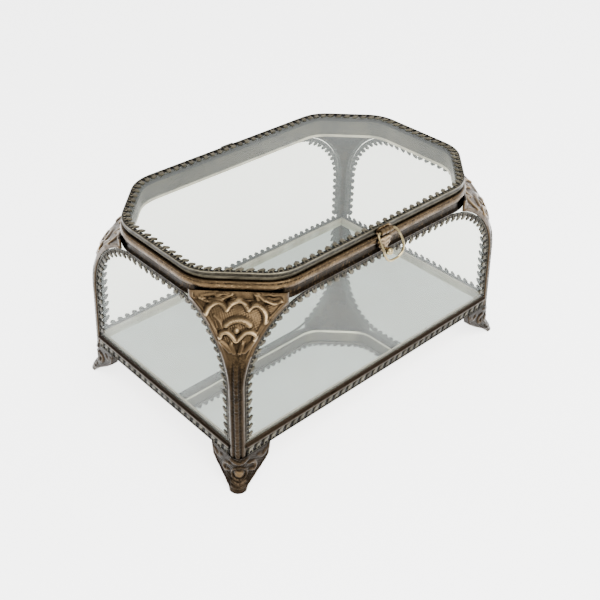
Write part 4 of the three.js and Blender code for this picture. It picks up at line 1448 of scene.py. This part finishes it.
class CASKET_OT_stage(bpy.types.Operator):
    """Adds the pale floor, the soft studio light and the camera"""

    bl_idname = "casket.stage"
    bl_label = "Stage"

    def execute(self, context):
        s = settings("stage")
        self.floor()
        self.light("key", s.key, *KEY_LIGHT)
        self.light("fill", s.fill, *FILL_LIGHT)
        world = bpy.data.worlds.new("soft room")
        context.scene.world = world
        world.use_nodes = True
        background = world.node_tree.nodes["Background"]
        background.inputs["Color"].default_value = (1.0, 1.0, 1.0, 1.0)
        background.inputs["Strength"].default_value = s.world
        camera = bpy.data.cameras.new("camera")
        camera.lens = s.lens
        camera.sensor_width = SENSOR_MM
        camera.clip_start = CLIP_START
        right, up = unit(CAMERA_RIGHT), unit(CAMERA_UP)
        back = unit(np.cross(right, up))
        up = np.cross(back, right)
        eye = bpy.data.objects.new("camera", camera)
        basis = Matrix([list(right), list(up), list(back)]).transposed().to_4x4()
        eye.matrix_world = Matrix.Translation(Vector(CAMERA_PLACE) * MM) @ basis
        context.scene.collection.objects.link(eye)
        context.scene.camera = eye
        return {"FINISHED"}

    def floor(self):
        """A wide disc with a gently rising edge."""
        around = FLOOR_AROUND
        points = [(0.0, 0.0, 0.0)]
        for radius, z in FLOOR_RINGS:
            for k in range(around):
                turn = 2 * math.pi * k / around
                points.append((radius * math.cos(turn), radius * math.sin(turn), z))
        faces = [(0, 1 + k, 1 + (k + 1) % around) for k in range(around)]
        for i in range(len(FLOOR_RINGS) - 1):
            for k in range(around):
                a, b = 1 + i * around + k, 1 + i * around + (k + 1) % around
                faces.append((a, a + around, b + around, b))
        mesh = bpy.data.meshes.new("floor")
        mesh.from_pydata(points, [], faces)
        mesh.materials.append(material("floor_paper"))
        mesh.polygons.foreach_set("use_smooth", [True] * len(mesh.polygons))
        floor = bpy.data.objects.new("floor", mesh)
        bpy.context.scene.collection.objects.link(floor)

    def light(self, name, power, size, place):
        lamp = bpy.data.lights.new(name, "AREA")
        lamp.energy = power
        lamp.size = size
        made = bpy.data.objects.new(name, lamp)
        made.location = place
        aim = LIGHT_AIM - Vector(place)
        made.rotation_euler = aim.to_track_quat("-Z", "Y").to_euler()
        bpy.context.scene.collection.objects.link(made)


# ---- Add-on ------------------------------------------------------------------------

OPERATORS = (
    CASKET_OT_finishes,
    CASKET_OT_pane_edging,
    CASKET_OT_corners,
    CASKET_OT_feet,
    CASKET_OT_rim,
    CASKET_OT_lid_edging,
    CASKET_OT_clasp,
    CASKET_OT_stage,
)
GROUPS = {
    "edging": CASKET_PG_edging,
    "corner": CASKET_PG_corner,
    "colours": CASKET_PG_colours,
    "stage": CASKET_PG_stage,
}


class CASKET_PT_panel(bpy.types.Panel):
    bl_label = "Trinket Box"
    bl_idname = "CASKET_PT_panel"
    bl_space_type = "VIEW_3D"
    bl_region_type = "UI"
    bl_category = "Trinket Box"

    def draw(self, context):
        for name, group in GROUPS.items():
            box = self.layout.box()
            box.label(text=name.capitalize())
            for key in group.__annotations__:
                box.prop(settings(name), key)
        for operator in OPERATORS:
            self.layout.operator(operator.bl_idname)


def register():
    for group in GROUPS.values():
        bpy.utils.register_class(group)
    for name, group in GROUPS.items():
        setattr(bpy.types.Scene, "casket_" + name, PointerProperty(type=group))
    for operator in OPERATORS:
        bpy.utils.register_class(operator)
    bpy.utils.register_class(CASKET_PT_panel)


def unregister():
    bpy.utils.unregister_class(CASKET_PT_panel)
    for operator in reversed(OPERATORS):
        bpy.utils.unregister_class(operator)
    for name in GROUPS:
        delattr(bpy.types.Scene, "casket_" + name)
    for group in reversed(list(GROUPS.values())):
        bpy.utils.unregister_class(group)


def main():
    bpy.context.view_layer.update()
    register()
    for operator in OPERATORS:
        group, name = operator.bl_idname.split(".")
        result = getattr(getattr(bpy.ops, group), name)()
        if result != {"FINISHED"}:
            raise RuntimeError(f"{operator.bl_label} did not finish")


if __name__ == "__main__":
    main()
